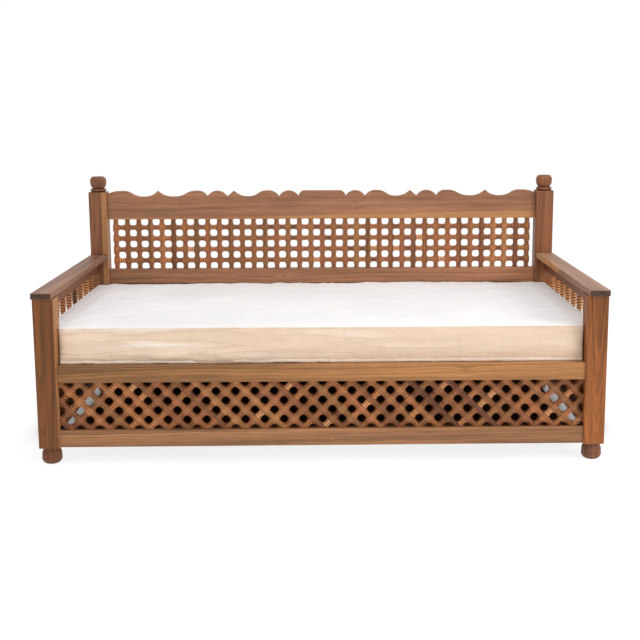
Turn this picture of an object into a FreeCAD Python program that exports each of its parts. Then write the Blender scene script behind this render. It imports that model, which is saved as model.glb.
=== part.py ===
import FreeCAD, Part
import math
import os
import re
import Sketcher
from FreeCAD import Placement, Rotation, Vector

# Daybed with turned-spindle lattices and a loose mattress.  Millimetres, +Z up.
# X runs along the length, the open front faces -Y, and the origin is on the floor
# under the middle of the whole object.

doc = FreeCAD.newDocument("Daybed")

# ---------------------------------------------------------------- driving sizes
SIZES = [
    ("post_side", 76, "side of the four square posts"),
    ("post_arris", 3, "chamfer on the posts' long edges"),
    ("rail_arris", 1.5, "chamfer on the rails' and slats' long edges"),
    ("post_stub_side", 36, "square stub of a front post in its arm cap"),
    ("post_stub_height", 10, "square stub of a front post in its arm cap"),
    ("clear_length", 1910, "between the posts, along X"),
    ("clear_depth", 938, "between front and rear posts, along Y"),
    ("foot_height", 62, "bun foot below each post"),
    ("foot_radius", 35.6, "widest radius of a bun foot"),
    ("foot_tenon_radius", 10, "spigot of a foot"),
    ("foot_tenon_length", 30, "spigot of a foot"),
    ("front_post_top", 613, "top of the front posts, under the arm caps"),
    ("rear_post_top", 912, "shoulder of the rear posts"),
    ("finial_radius", 35.3, "widest radius of a finial's ball"),
    ("finial_height", 68, "from the post's shoulder to the flat top"),
    ("finial_tenon_radius", 8, "spigot of a finial"),
    ("finial_tenon_length", 25, "spigot of a finial"),
    ("rail_height", 62, "seat rails and bottom rails"),
    ("rail_thickness", 44, "front and rear rails"),
    ("rail_setback", 8, "front and rear rails behind the posts' outer faces"),
    ("bottom_rail_base", 64, "underside of the bottom rails"),
    ("seat_rail_base", 304, "underside of the seat rails"),
    ("side_rail_thickness", 28, "rails of the two ends"),
    ("side_rail_inset", 3, "end rails inside the posts' outer faces"),
    ("arm_rail_height", 58, "rail under each arm cap"),
    ("cap_thickness", 22, "arm caps"),
    ("cap_width", 74, "arm caps"),
    ("cap_nose", 10, "arm caps past the posts' front faces"),
    ("cap_side", 2, "arm caps past the posts' outer faces"),
    ("cap_stub_length", 20, "stub tenon of a cap in the rear post"),
    ("cap_stub_width", 40, "stub tenon of a cap in the rear post"),
    ("cap_stub_height", 10, "stub tenon of a cap in the rear post"),
    ("tenon_length", 26, "blind tenons of the rails"),
    ("tenon_shoulder", 9, "rail above and below its tenon"),
    ("long_tenon_thickness", 16, "tenons of the long rails"),
    ("side_tenon_thickness", 12, "tenons of the end rails"),
    ("back_plane_inset", 38, "lattice plane behind the rear posts' front faces"),
    ("back_rail_top", 566, "top of the rail under the back lattice"),
    ("back_rail_height", 80, "rail under the back lattice"),
    ("back_rail_thickness", 40, "rail under the back lattice"),
    ("crest_base", 790, "underside of the scalloped top rail"),
    ("crest_height", 125, "scalloped top rail at its peaks"),
    ("crest_dip", 25, "depth of the scallops"),
    ("crest_thickness", 30, "scalloped top rail"),
    ("crest_flat", 72, "scallops, from the middle outwards: end of the flat top"),
    ("crest_first_notch", 105, "notch after the flat top"),
    ("crest_second_notch", 192, "notch after the first hump"),
    ("crest_first_swell", 245, "rounded top"),
    ("crest_first_trough", 328, "low point"),
    ("crest_first_tip", 393, "pointed top"),
    ("crest_third_notch", 423, "notch below the point"),
    ("crest_fourth_notch", 511, "notch after the second hump"),
    ("crest_second_swell", 556, "rounded top"),
    ("crest_second_trough", 661, "low point"),
    ("crest_second_tip", 730, "pointed top"),
    ("crest_third_trough", 795, "low point"),
    ("crest_third_swell", 891, "rounded top"),
    ("spindle_block", 25, "square blocks of the back lattice"),
    ("spindle_spacing", 51.2, "upright spindles of the back lattice"),
    ("spindle_count", 37, "upright spindles of the back lattice"),
    ("peg_row_spacing", 49.5, "rows of pegs in the back lattice"),
    ("peg_rows", 4, "rows of pegs in the back lattice"),
    ("apron_cells", 27, "diamonds of the front lattice along its length"),
    ("apron_block", 26, "square blocks of the lattices below the seat"),
    ("apron_first_row", 121.7, "height of their lowest crossings"),
    ("apron_rows", 6, "rows of crossings in each of them"),
    ("end_cells", 13, "diamonds of each end lattice along its length"),
    ("apron_plane_inset", 38, "front lattice plane behind the posts' faces"),
    ("groove_depth", 6, "groove that holds the front lattice"),
    ("peg_tenon_radius", 4, "round tenons of the lattice pegs"),
    ("spindle_tenon_radius", 6, "round tenons of the upright spindles"),
    ("spindle_tenon_length", 12, "round tenons of the upright spindles"),
    ("arm_spindle_count", 8, "turned spindles under each arm"),
    ("arm_spindle_radius", 13.5, "widest radius of an arm spindle"),
    ("arm_ring_stack", 66, "ringed part at each end of an arm spindle"),
    ("panel_thickness", 12, "board behind the space under the seat"),
    ("dust_board_thickness", 6, "board that closes the space under the seat from below"),
    ("dust_board_base", 72, "underside of that board"),
    ("dust_board_end_gap", 5, "that board short of the posts"),
    ("panel_groove", 8, "groove that holds the board"),
    ("cleat_side", 25, "square cleats that carry the slats"),
    ("slat_thickness", 18, "bed slats"),
    ("slat_width", 80, "bed slats"),
    ("slat_count", 15, "bed slats"),
    ("slat_pitch", 130, "bed slats"),
    ("slat_gap", 1, "play at each end of a slat"),
    ("cleat_length", 1890, "square cleats that carry the slats"),
    ("slat_top", 366, "top of the bed slats, flush with the seat rails"),
    ("beam_width", 30, "beam under the middle of the slats"),
    ("beam_height", 40, "beam under the middle of the slats"),
    ("screw_radius", 2, "shank of the wood screws"),
    ("screw_head_radius", 4, "countersunk head of the wood screws"),
    ("slat_screw_length", 36, "screws through the slats into the cleats"),
    ("cleat_screw_length", 45, "screws through the cleats into the rails"),
    ("cleat_screw_count", 8, "screws in each cleat"),
    ("mattress_half_length", 999, "loose mattress, between the end rails"),
    ("mattress_front", 46, "mattress behind the front posts' faces"),
    ("mattress_rear", 1031, "mattress end behind the front posts' faces"),
    ("mattress_thickness", 130, "loose mattress"),
    ("mattress_base", 366.2, "underside of the mattress"),
    ("mattress_notch", 2, "clearance between mattress and posts"),
]

sheet = doc.addObject("Spreadsheet::Sheet", "Sizes")
for row, (alias, value, note) in enumerate(SIZES, start=1):
    sheet.set(f"A{row}", note)
    sheet.set(f"B{row}", str(value))
    sheet.setAlias(f"B{row}", alias)
doc.recompute()


def size(alias):
    """The number in the sheet's cell of that name."""
    return float(sheet.get(alias))


def expr(text):
    """An expression on the sheet, written with the bare names of its cells."""
    return re.sub(r"[a-z_]+", lambda word: f"Sizes.{word.group()}", text)


# ------------------------------------------------------------ places, from the sizes
HALF = size("clear_length") / 2
OUTER = HALF + size("post_side")
FRONT = size("cap_nose") / 2 - size("post_side") - size("clear_depth") / 2
REAR_POST = FRONT + size("post_side") + size("clear_depth")
BACK = REAR_POST + size("post_side")
DEPTH_MIDDLE = REAR_POST - size("clear_depth") / 2
SIDE_PLANE = OUTER - size("side_rail_inset") - size("side_rail_thickness") / 2
BACK_PLANE = REAR_POST + size("back_plane_inset")
APRON_PLANE = FRONT + size("apron_plane_inset")
FRONT_RAIL_Y = FRONT + size("rail_setback")
REAR_RAIL_Y = BACK - size("rail_setback") - size("rail_thickness")
BOTTOM_RAIL_TOP = size("bottom_rail_base") + size("rail_height")
SEAT_RAIL_TOP = size("seat_rail_base") + size("rail_height")
ARM_RAIL_BASE = size("front_post_top") - size("arm_rail_height")
SIDES = (("left", -1), ("right", 1))
UP = Vector(0, 0, 1)
ALONG_X = Vector(1, 0, 0)
ALONG_Y = Vector(0, 1, 0)
SAME_POINT = 1e-6


# ------------------------------------------------------------------- small tools
def box(name, length, width, height, corner):
    """A block whose three sizes are expressions on the sheet."""
    block = doc.addObject("Part::Box", name)
    block.setExpression("Length", expr(length))
    block.setExpression("Width", expr(width))
    block.setExpression("Height", expr(height))
    block.Placement.Base = Vector(*corner)
    return block


def rod(name, radius, height, base, axis=UP):
    """A cylinder from base along axis, its sizes bound to the sheet."""
    cylinder = doc.addObject("Part::Cylinder", name)
    cylinder.setExpression("Radius", expr(radius))
    cylinder.setExpression("Height", expr(height))
    cylinder.Placement = Placement(Vector(*base), Rotation(UP, axis))
    return cylinder


def feature(name, shape):
    """A solid, or a group of solids, worked out with Part's own functions."""
    piece = doc.addObject("Part::Feature", name)
    piece.Shape = shape
    piece.Placement = Placement()
    return piece


def fuse(name, pieces):
    joined = doc.addObject("Part::MultiFuse", name)
    joined.Shapes = pieces
    joined.Refine = True
    return joined


def cut(name, base, tools):
    """base with every tool taken away."""
    tool = tools[0]
    if len(tools) > 1:
        tool = doc.addObject("Part::Compound", f"{name}_tools")
        tool.Links = tools
    result = doc.addObject("Part::Cut", name)
    result.Base = base
    result.Tool = tool
    return result


NODES = []


def node(piece, label):
    """Names a finished sub-part."""
    piece.Label = label
    NODES.append(piece)
    return piece


def outline_face(start, path):
    """A face from a closed outline of straight and curved runs, in the XZ plane.

    Each run is ("line", x, z) or ("arc", through_x, through_z, x, z).
    """
    at = Vector(start[0], 0, start[1])
    edges = []
    for kind, *numbers in path + [("line", *start)]:
        end = Vector(numbers[-2], 0, numbers[-1])
        if end.distanceToPoint(at) < SAME_POINT:
            continue
        if kind == "line":
            edges.append(Part.LineSegment(at, end).toShape())
        else:
            edges.append(Part.Arc(at, Vector(numbers[0], 0, numbers[1]), end).toShape())
        at = end
    return Part.Face(Part.Wire(edges))


def turned(outline):
    """A solid of revolution about Z from (radius, height) runs that start and end on the axis."""
    return outline_face(outline[0], outline[1:]).revolve(Vector(), UP, 360)


def body_with_sketch(name, plane, start, runs):
    """A new body and its sketch of an outline, in one of its own origin planes."""
    body = doc.addObject("PartDesign::Body", name)
    planes = {origin_plane.Role: origin_plane for origin_plane in body.Origin.OriginFeatures}
    sketch = body.newObject("Sketcher::SketchObject", f"{name}_outline")
    sketch.AttachmentSupport = [(planes[plane], "")]
    sketch.MapMode = "FlatFace"
    at = Vector(*start, 0)
    for kind, *numbers in runs + [("line", *start)]:
        end = Vector(numbers[-2], numbers[-1], 0)
        if end.distanceToPoint(at) < SAME_POINT:
            continue
        if kind == "line":
            run = Part.LineSegment(at, end)
        else:
            run = Part.Arc(at, Vector(numbers[0], numbers[1], 0), end)
        index = sketch.addGeometry(run, False)
        sketch.addConstraint(Sketcher.Constraint("Block", index))
        at = end
    return body, sketch


def turned_body(name, outline, spot):
    """A turned piece as a body with a sketch and a revolution."""
    body, sketch = body_with_sketch(name, "XZ_Plane", outline[0], outline[1:])
    turning = body.newObject("PartDesign::Revolution", f"{name}_turning")
    turning.Profile = (sketch, [""])
    turning.ReferenceAxis = (sketch, ["V_Axis"])
    turning.Angle = 360
    body.Tip = turning
    body.Placement.Base = Vector(*spot)
    return body


def padded_body(name, plane, start, runs, thickness, spot, side):
    """A board cut to an outline, its thickness bound to the sheet."""
    body, sketch = body_with_sketch(name, plane, start, runs)
    pad = body.newObject("PartDesign::Pad", f"{name}_pad")
    pad.Profile = (sketch, [""])
    pad.SideType = side
    pad.setExpression("Length", expr(thickness))
    body.Tip = pad
    body.Placement.Base = Vector(*spot)
    return body


GROOVE_SHARE = 0.07
BEVEL_SHARE = 0.3


def beads(start, end, neck, rims):
    """Runs of a turned stretch from start to end with a bevelled ring for each of rims."""
    step = (end - start) / len(rims)
    groove = step * GROOVE_SHARE
    bevel = step * BEVEL_SHARE
    runs = []
    for ring, rim in enumerate(rims):
        low = start + ring * step
        runs += [
            ("line", neck, low + groove),
            ("line", rim, low + bevel),
            ("line", rim, low + step - bevel),
            ("line", neck, low + step - groove),
        ]
    runs.append(("line", neck, end))
    return runs


# ------------------------------------------------------------------- turned pieces
ARM_RINGS = 8
ARM_NECK_SHARE = 0.6
ARM_SWELL_SHARE = 0.8
ARM_LAST_RIM_SHARE = 0.74


def foot_outline():
    """Bun foot with a flat sole, a short neck and a spigot; heights from the floor."""
    widest = size("foot_radius")
    top = size("foot_height")
    spigot = size("foot_tenon_radius")
    return [
        (0, 0),
        ("line", widest * 0.66, 0),
        ("arc", widest * 0.93, top * 0.13, widest, top * 0.42),
        ("arc", widest * 0.985, top * 0.64, widest * 0.86, top * 0.83),
        ("line", widest * 0.86, top * 0.89),
        ("line", widest * 0.94, top * 0.92),
        ("line", widest * 0.94, top),
        ("line", spigot, top),
        ("line", spigot, top + size("foot_tenon_length")),
        ("line", 0, top + size("foot_tenon_length")),
    ]


def finial_outline():
    """Flattened ball on a round collar; heights from the post's shoulder."""
    widest = size("finial_radius")
    top = size("finial_height")
    spigot = size("finial_tenon_radius")
    return [
        (0, -size("finial_tenon_length")),
        ("line", spigot, -size("finial_tenon_length")),
        ("line", spigot, 0),
        ("line", widest * 0.84, 0),
        ("line", widest * 0.84, top * 0.05),
        ("arc", widest, top * 0.13, widest * 0.86, top * 0.21),
        ("line", widest * 0.72, top * 0.24),
        ("arc", widest * 0.93, top * 0.42, widest, top * 0.64),
        ("arc", widest * 0.93, top * 0.87, widest * 0.68, top),
        ("line", 0, top),
    ]


def arm_spindle_outline(base, top):
    """Upright spindle with a stack of rings at each end, a swelling between, and tenons."""
    widest = size("arm_spindle_radius")
    neck = widest * ARM_NECK_SHARE
    spigot = size("spindle_tenon_radius")
    reach = size("spindle_tenon_length")
    stack = size("arm_ring_stack")
    runs = [(0, base - reach), ("line", spigot, base - reach), ("line", spigot, base)]
    lessening = (1 - ARM_LAST_RIM_SHARE) / (ARM_RINGS - 1)
    rims = [widest * (1 - lessening * ring) for ring in range(ARM_RINGS)]
    runs += beads(base, base + stack, neck, rims)
    runs.append(("arc", widest * ARM_SWELL_SHARE, (base + top) / 2, neck, top - stack))
    runs += beads(top - stack, top, neck, rims[::-1])
    runs += [("line", spigot, top), ("line", spigot, top + reach), ("line", 0, top + reach)]
    return runs


# ------------------------------------------------------------------ lattice pieces
NECK_SHARE = 0.36
RING_SHARE = 0.47
RINGS = 3


def lattice_bar(rows, low, high, block, tenon):
    """An upright bar along Z: square blocks at the rows, ringed turning between them.

    low and high are the ends of the turning; tenon is None where the bar ends plain.
    """
    half = block / 2
    neck = block * NECK_SHARE
    ring = block * RING_SHARE
    stops = [low]
    for row_height in rows:
        stops += [row_height - half, row_height + half]
    stops.append(high)
    runs = [(0, low), ("line", neck, low)]
    for number in range(0, len(stops), 2):
        start, end = stops[number], stops[number + 1]
        runs.append(("line", neck, start))
        if end - start > block / 2:
            runs += beads(start, end, neck, [ring] * RINGS)
        else:
            runs.append(("line", neck, end))
    runs.append(("line", 0, high))
    bar = turned(runs)
    blocks = [Part.makeBox(block, block, block, Vector(-half, -half, z - half)) for z in rows]
    parts = blocks
    if tenon:
        radius, reach = tenon
        parts = blocks + [
            Part.makeCylinder(radius, reach, Vector(0, 0, low - reach)),
            Part.makeCylinder(radius, reach, Vector(0, 0, high)),
        ]
    return bar.multiFuse(parts).removeSplitter()


def peg(length, block):
    """A short ringed peg along X with a round tenon at each end, centred on the origin."""
    reach = block / 2
    radius = size("peg_tenon_radius")
    half = length / 2
    neck = block * NECK_SHARE
    ring = block * RING_SHARE
    runs = [(0, -half - reach), ("line", radius, -half - reach), ("line", radius, -half)]
    runs.append(("line", neck, -half))
    runs += beads(-half, half, neck, [ring] * RINGS)
    runs += [("line", radius, half), ("line", radius, half + reach), ("line", 0, half + reach)]
    shape = turned(runs)
    shape.rotate(Vector(), ALONG_Y, 90)
    return shape


def moved(shape, x, y, z):
    copy = shape.copy()
    copy.translate(Vector(x, y, z))
    return copy


def back_lattice():
    """The upright spindles and the rows of pegs between them."""
    block = size("spindle_block")
    spacing = size("spindle_spacing")
    low, high = size("back_rail_top"), size("crest_base")
    middle = (low + high) / 2
    count = int(size("peg_rows"))
    rows = [middle + (row - (count - 1) / 2) * size("peg_row_spacing") for row in range(count)]
    tenon = (size("spindle_tenon_radius"), size("spindle_tenon_length"))
    bar = lattice_bar(rows, low, high, block, tenon)
    hole = size("peg_tenon_radius")
    left_holes = [Part.makeCylinder(hole, block, Vector(-block, 0, z), ALONG_X) for z in rows]
    right_holes = [Part.makeCylinder(hole, block, Vector(0, 0, z), ALONG_X) for z in rows]
    inner = bar.cut(left_holes + right_holes)
    first = bar.cut(right_holes)
    last = bar.cut(left_holes)
    number = int(size("spindle_count"))
    places = [(index - (number - 1) / 2) * spacing for index in range(number)]
    bars = [moved(first, places[0], BACK_PLANE, 0)]
    bars += [moved(inner, x, BACK_PLANE, 0) for x in places[1:-1]]
    bars.append(moved(last, places[-1], BACK_PLANE, 0))
    one_peg = peg(spacing - block, block)
    pegs = [moved(one_peg, x + spacing / 2, BACK_PLANE, z) for x in places[:-1] for z in rows]
    return bars, pegs, places


def slanting_lattice(length, cells, lip):
    """Slanting spindles and pegs that fill an opening below the seat, standing in the XZ plane.

    lip is how far the pieces run past the opening's edges, into a groove.
    """
    block = size("apron_block")
    cell = length / cells
    pitch = cell / math.sqrt(2)
    count = int(size("apron_rows"))
    first = size("apron_first_row")
    along = [pitch * (row + 0.5) for row in range(count)]
    bar = lattice_bar(along, 0, pitch * (count + 0.5), block, None)
    hole = size("peg_tenon_radius")
    holes = [Part.makeCylinder(hole, block * 2, Vector(-block, 0, z), ALONG_X) for z in along]
    bar = bar.cut(holes)
    bar.translate(Vector(0, 0, -along[0]))
    bar.rotate(Vector(), ALONG_Y, -45)
    bar.translate(Vector(0, 0, first))
    one_peg = peg(pitch - block, block)
    one_peg.rotate(Vector(), ALONG_Y, -45)

    side = length / 2 + lip
    low = BOTTOM_RAIL_TOP - lip
    high = size("seat_rail_base") + lip
    window = Part.makeBox(2 * side, 2 * block, high - low, Vector(-side, -block, low))
    least = block ** 3 / 8

    def trimmed(shape):
        """The solids of a piece inside the opening, without the crumbs at its corners."""
        bounds = shape.BoundBox
        if bounds.XMax < -side or bounds.XMin > side:
            return []
        if bounds.XMin < -side or bounds.XMax > side or bounds.ZMin < low or bounds.ZMax > high:
            shape = shape.common(window)
        return [solid for solid in shape.Solids if solid.Volume > least]

    bars = []
    for step in range(-cells, cells):
        bars += trimmed(moved(bar, step * cell, 0, 0))
    pegs = []
    for row in range(count - 1):
        z = first + (row + 0.5) * cell / 2
        for step in range(-cells, cells):
            crossing = step * cell / 2
            if (step + row) % 2 == 0:
                pegs += trimmed(moved(one_peg, crossing + cell / 4, 0, z))
    return bars, pegs


# ------------------------------------------------------------------ joinery helpers
def chamfered(name, base, amount, axes):
    """base with the edges that run along the given axes chamfered by a cell's value."""
    doc.recompute()
    edges = []
    for number, edge in enumerate(base.Shape.Edges, start=1):
        first, last = edge.Vertexes[0].Point, edge.Vertexes[-1].Point
        run = (last - first).normalize()
        if any(abs(run.dot(axis)) > 0.999 for axis in axes):
            edges.append((number, size(amount), size(amount)))
    softened = doc.addObject("Part::Chamfer", name)
    softened.Base = base
    softened.Edges = edges
    return softened


CLEARED = size("post_side") - size("tenon_length")


def long_tenons(name, width, height, base, thickness, plane):
    """Two tenons along X that reach into the posts from a rail's ends."""
    tenons = []
    for side, sign in SIDES:
        inner = HALF if sign > 0 else -HALF - size("tenon_length")
        corner = (inner, plane - size(thickness) / 2, base + size("tenon_shoulder"))
        tenons.append(box(f"{name}_{side}_tenon", "tenon_length", width, height, corner))
    return tenons


def side_tenons(name, height, base, x):
    """Two tenons along Y that reach into the posts from an end rail."""
    tenons = []
    places = (("front", FRONT + CLEARED), ("rear", REAR_POST))
    for end, y in places:
        corner = (x - size("side_tenon_thickness") / 2, y, base + size("tenon_shoulder"))
        tenons.append(box(f"{name}_{end}_tenon", "side_tenon_thickness", "tenon_length", height, corner))
    return tenons


TENON_HEIGHT = "rail_height - 2 * tenon_shoulder"
ARM_TENON_HEIGHT = "arm_rail_height - 2 * tenon_shoulder"
BACK_TENON_HEIGHT = "back_rail_height - 2 * tenon_shoulder"
CREST_TENON_HEIGHT = "crest_height - crest_dip - 4 * tenon_shoulder"

# Every tenon is made once: it is fused to its rail and cut from its posts.
LONG_TENONS = {}
for label, height, base, plane in (
    ("front_seat_rail", TENON_HEIGHT, size("seat_rail_base"), FRONT_RAIL_Y + size("rail_thickness") / 2),
    ("front_bottom_rail", TENON_HEIGHT, size("bottom_rail_base"), FRONT_RAIL_Y + size("rail_thickness") / 2),
    ("rear_seat_rail", TENON_HEIGHT, size("seat_rail_base"), REAR_RAIL_Y + size("rail_thickness") / 2),
    ("rear_bottom_rail", TENON_HEIGHT, size("bottom_rail_base"), REAR_RAIL_Y + size("rail_thickness") / 2),
    ("back_lower_rail", BACK_TENON_HEIGHT, size("back_rail_top") - size("back_rail_height"), BACK_PLANE),
    ("back_crest_rail", CREST_TENON_HEIGHT, size("crest_base"), BACK_PLANE),
):
    LONG_TENONS[label] = long_tenons(
        label, "long_tenon_thickness", height, base, "long_tenon_thickness", plane
    )

SIDE_TENONS = {}
for side, sign in SIDES:
    for piece_name, height, base in (
        ("seat_rail", TENON_HEIGHT, size("seat_rail_base")),
        ("bottom_rail", TENON_HEIGHT, size("bottom_rail_base")),
        ("arm_rail", ARM_TENON_HEIGHT, ARM_RAIL_BASE),
    ):
        label = f"{side}_{piece_name}"
        SIDE_TENONS[label] = side_tenons(label, height, base, sign * SIDE_PLANE)

# The grooves for the front lattice and for the board behind the space under the seat.
APRON_GROOVE = box(
    "apron_groove",
    "clear_length + 2 * groove_depth",
    "apron_block",
    "seat_rail_base - bottom_rail_base - rail_height + 2 * groove_depth",
    (
        -HALF - size("groove_depth"),
        APRON_PLANE - size("apron_block") / 2,
        BOTTOM_RAIL_TOP - size("groove_depth"),
    ),
)
PANEL_SIZES = (
    "clear_length + 2 * panel_groove",
    "panel_thickness",
    "seat_rail_base - bottom_rail_base - rail_height + 2 * panel_groove",
)
PANEL_PLANE = REAR_RAIL_Y + size("rail_thickness") / 2
PANEL_CORNER = (
    -HALF - size("panel_groove"),
    PANEL_PLANE - size("panel_thickness") / 2,
    BOTTOM_RAIL_TOP - size("panel_groove"),
)
PANEL_GROOVE = box("panel_groove_tool", *PANEL_SIZES, PANEL_CORNER)

# The board under the space below the seat, held in grooves of the two long bottom rails.
DUST_DEPTH = "post_side + clear_depth + post_side - 2 * rail_setback - 2 * rail_thickness + 2 * groove_depth"
DUST_FRONT = FRONT_RAIL_Y + size("rail_thickness") - size("groove_depth")
DUST_GROOVE = box(
    "dust_groove_tool",
    "clear_length",
    DUST_DEPTH,
    "dust_board_thickness",
    (-HALF, DUST_FRONT, size("dust_board_base")),
)

# ------------------------------------------------------------------------ arm caps
CAP_INNER = OUTER + size("cap_side") - size("cap_width")
CAP_MIDDLE = CAP_INNER + size("cap_width") / 2
POST_MIDDLE = OUTER - size("post_side") / 2
CAP_STUBS = {}
POST_STUBS = {}
for side, sign in SIDES:
    CAP_STUBS[side] = box(
        f"{side}_cap_stub",
        "cap_stub_width",
        "cap_stub_length",
        "cap_stub_height",
        (
            sign * CAP_MIDDLE - size("cap_stub_width") / 2,
            REAR_POST,
            size("front_post_top") + (size("cap_thickness") - size("cap_stub_height")) / 2,
        ),
    )
    POST_STUBS[side] = box(
        f"{side}_post_stub",
        "post_stub_side",
        "post_stub_side",
        "post_stub_height",
        (
            sign * POST_MIDDLE - size("post_stub_side") / 2,
            FRONT + (size("post_side") - size("post_stub_side")) / 2,
            size("front_post_top"),
        ),
    )
    plank = box(
        f"{side}_cap_plank",
        "cap_width",
        "cap_nose + 2 * post_side + clear_depth - post_side",
        "cap_thickness",
        (
            CAP_INNER if sign > 0 else -CAP_INNER - size("cap_width"),
            FRONT - size("cap_nose"),
            size("front_post_top"),
        ),
    )
    eased = chamfered(f"{side}_cap_eased", plank, "rail_arris", (ALONG_X, ALONG_Y, UP))
    whole = fuse(f"{side}_cap_whole", [eased, CAP_STUBS[side]])
    node(cut(f"{side}_arm_cap_cut", whole, [POST_STUBS[side]]), f"{side}_arm_cap")

# --------------------------------------------------------------------------- posts
FOOT_HOLES = {}
for side, sign in SIDES:
    for end, y in (("front", FRONT), ("rear", REAR_POST)):
        rear = end == "rear"
        top = "rear_post_top" if rear else "front_post_top"
        corner = (HALF if sign > 0 else -OUTER, y, size("foot_height"))
        label = f"{end}_{side}_post"
        timber = box(f"{label}_timber", "post_side", "post_side", f"{top} - foot_height", corner)
        eased = chamfered(f"{label}_eased", timber, "post_arris", (UP,))
        middle = (sign * POST_MIDDLE, y + size("post_side") / 2)
        sole = (*middle, size("foot_height"))
        tools = [rod(f"{label}_foot_hole", "foot_tenon_radius", "foot_tenon_length", sole)]
        which = 1 if sign > 0 else 0
        for rail, tenons in LONG_TENONS.items():
            if rail.startswith("front") != rear:
                tools.append(tenons[which])
        for rail, tenons in SIDE_TENONS.items():
            if rail.startswith(side):
                tools.append(tenons[1 if rear else 0])
        if rear:
            tools += [CAP_STUBS[side], PANEL_GROOVE]
            base = (*middle, size("rear_post_top") - size("finial_tenon_length"))
            tools.append(rod(f"{label}_finial_hole", "finial_tenon_radius", "finial_tenon_length", base))
            whole = eased
        else:
            tools.append(APRON_GROOVE)
            whole = fuse(f"{label}_whole", [eased, POST_STUBS[side]])
        node(cut(f"{label}_cut", whole, tools), label)
        spot = (*middle, 0)
        node(turned_body(f"{end}_{side}_foot_body", foot_outline(), spot), f"{end}_{side}_foot")
        if rear:
            spot = (*middle, size("rear_post_top"))
            node(turned_body(f"{side}_finial_body", finial_outline(), spot), f"{side}_finial")

# ------------------------------------------------------------------- screws for slats
SCREW_SHANK_SHARE = 0.8


def screw(length):
    """A countersunk wood screw that points down from the origin."""
    head, shank = size("screw_head_radius"), size("screw_radius")
    return turned([
        (0, 0),
        ("line", head, 0),
        ("line", shank, shank - head),
        ("line", shank, -length * SCREW_SHANK_SHARE),
        ("line", 0, -length),
    ])


SLAT_XS = [(n - (size("slat_count") - 1) / 2) * size("slat_pitch") for n in range(int(size("slat_count")))]
FRONT_INNER = FRONT_RAIL_Y + size("rail_thickness")
SLAT_BASE = size("slat_top") - size("slat_thickness")
CLEAT_BASE = SLAT_BASE - size("cleat_side")
CLEAT_YS = (FRONT_INNER + size("cleat_side") / 2, REAR_RAIL_Y - size("cleat_side") / 2)
down = screw(size("slat_screw_length"))
slat_screws = feature("slat_screw_set", Part.makeCompound(
    [moved(down, x, y, size("slat_top")) for x in SLAT_XS for y in CLEAT_YS]
))
count = int(size("cleat_screw_count"))
cleat_screws = {}
for end, turn, y in (
    ("front", -90, FRONT_INNER + size("cleat_side")),
    ("rear", 90, REAR_RAIL_Y - size("cleat_side")),
):
    level = screw(size("cleat_screw_length"))
    level.rotate(Vector(), ALONG_X, turn)
    spacing = size("cleat_length") / count
    xs = [(n - (count - 1) / 2) * spacing for n in range(count)]
    z = CLEAT_BASE + size("cleat_side") / 2
    cleat_screws[end] = [moved(level, x, y, z) for x in xs]
cleat_screw_set = feature("cleat_screw_set", Part.makeCompound(cleat_screws["front"] + cleat_screws["rear"]))
node(slat_screws, "slat_screws")
node(cleat_screw_set, "cleat_screws")

# -------------------------------------------------------------------------- lattices
back_bars, back_pegs, back_xs = back_lattice()
node(feature("back_bars", Part.makeCompound(back_bars)), "back_lattice_spindles")
node(feature("back_pegs", Part.makeCompound(back_pegs)), "back_lattice_pegs")
for label, length, cells, lip, turn, spot in (
    ("front", "clear_length", "apron_cells", size("groove_depth"), 0, (0, APRON_PLANE, 0)),
    ("left", "clear_depth", "end_cells", 0, 90, (-SIDE_PLANE, DEPTH_MIDDLE, 0)),
    ("right", "clear_depth", "end_cells", 0, -90, (SIDE_PLANE, DEPTH_MIDDLE, 0)),
):
    bars, pegs = slanting_lattice(size(length), int(size(cells)), lip)
    for kind, solids in (("spindles", bars), ("pegs", pegs)):
        for solid in solids:
            solid.rotate(Vector(), UP, turn)
            solid.translate(Vector(*spot))
        node(feature(f"{label}_{kind}", Part.makeCompound(solids)), f"{label}_lattice_{kind}")


def spindle_holes(name, xs, y, base):
    """Round holes for the ends of the upright spindles."""
    radius, reach = size("spindle_tenon_radius"), size("spindle_tenon_length")
    holes = [Part.makeCylinder(radius, reach, Vector(x, y, base)) for x in xs]
    return feature(name, Part.makeCompound(holes))


lower_holes = spindle_holes(
    "lower_spindle_holes", back_xs, BACK_PLANE, size("back_rail_top") - size("spindle_tenon_length")
)
upper_holes = spindle_holes("upper_spindle_holes", back_xs, BACK_PLANE, size("crest_base"))

# ------------------------------------------------------------------------ long rails
def long_rail(label, thickness, height, corner, tools):
    timber = box(f"{label}_timber", "clear_length", thickness, height, corner)
    eased = chamfered(f"{label}_eased", timber, "rail_arris", (ALONG_X,))
    whole = fuse(f"{label}_whole", [eased] + LONG_TENONS[label])
    return node(cut(f"{label}_cut", whole, tools) if tools else whole, label)


for label, y, base, tools in (
    ("front_seat_rail", FRONT_RAIL_Y, size("seat_rail_base"), [APRON_GROOVE, cleat_screw_set]),
    ("front_bottom_rail", FRONT_RAIL_Y, size("bottom_rail_base"), [APRON_GROOVE, DUST_GROOVE]),
    ("rear_seat_rail", REAR_RAIL_Y, size("seat_rail_base"), [PANEL_GROOVE, cleat_screw_set]),
    ("rear_bottom_rail", REAR_RAIL_Y, size("bottom_rail_base"), [PANEL_GROOVE, DUST_GROOVE]),
):
    long_rail(label, "rail_thickness", "rail_height", (-HALF, y, base), tools)

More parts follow.
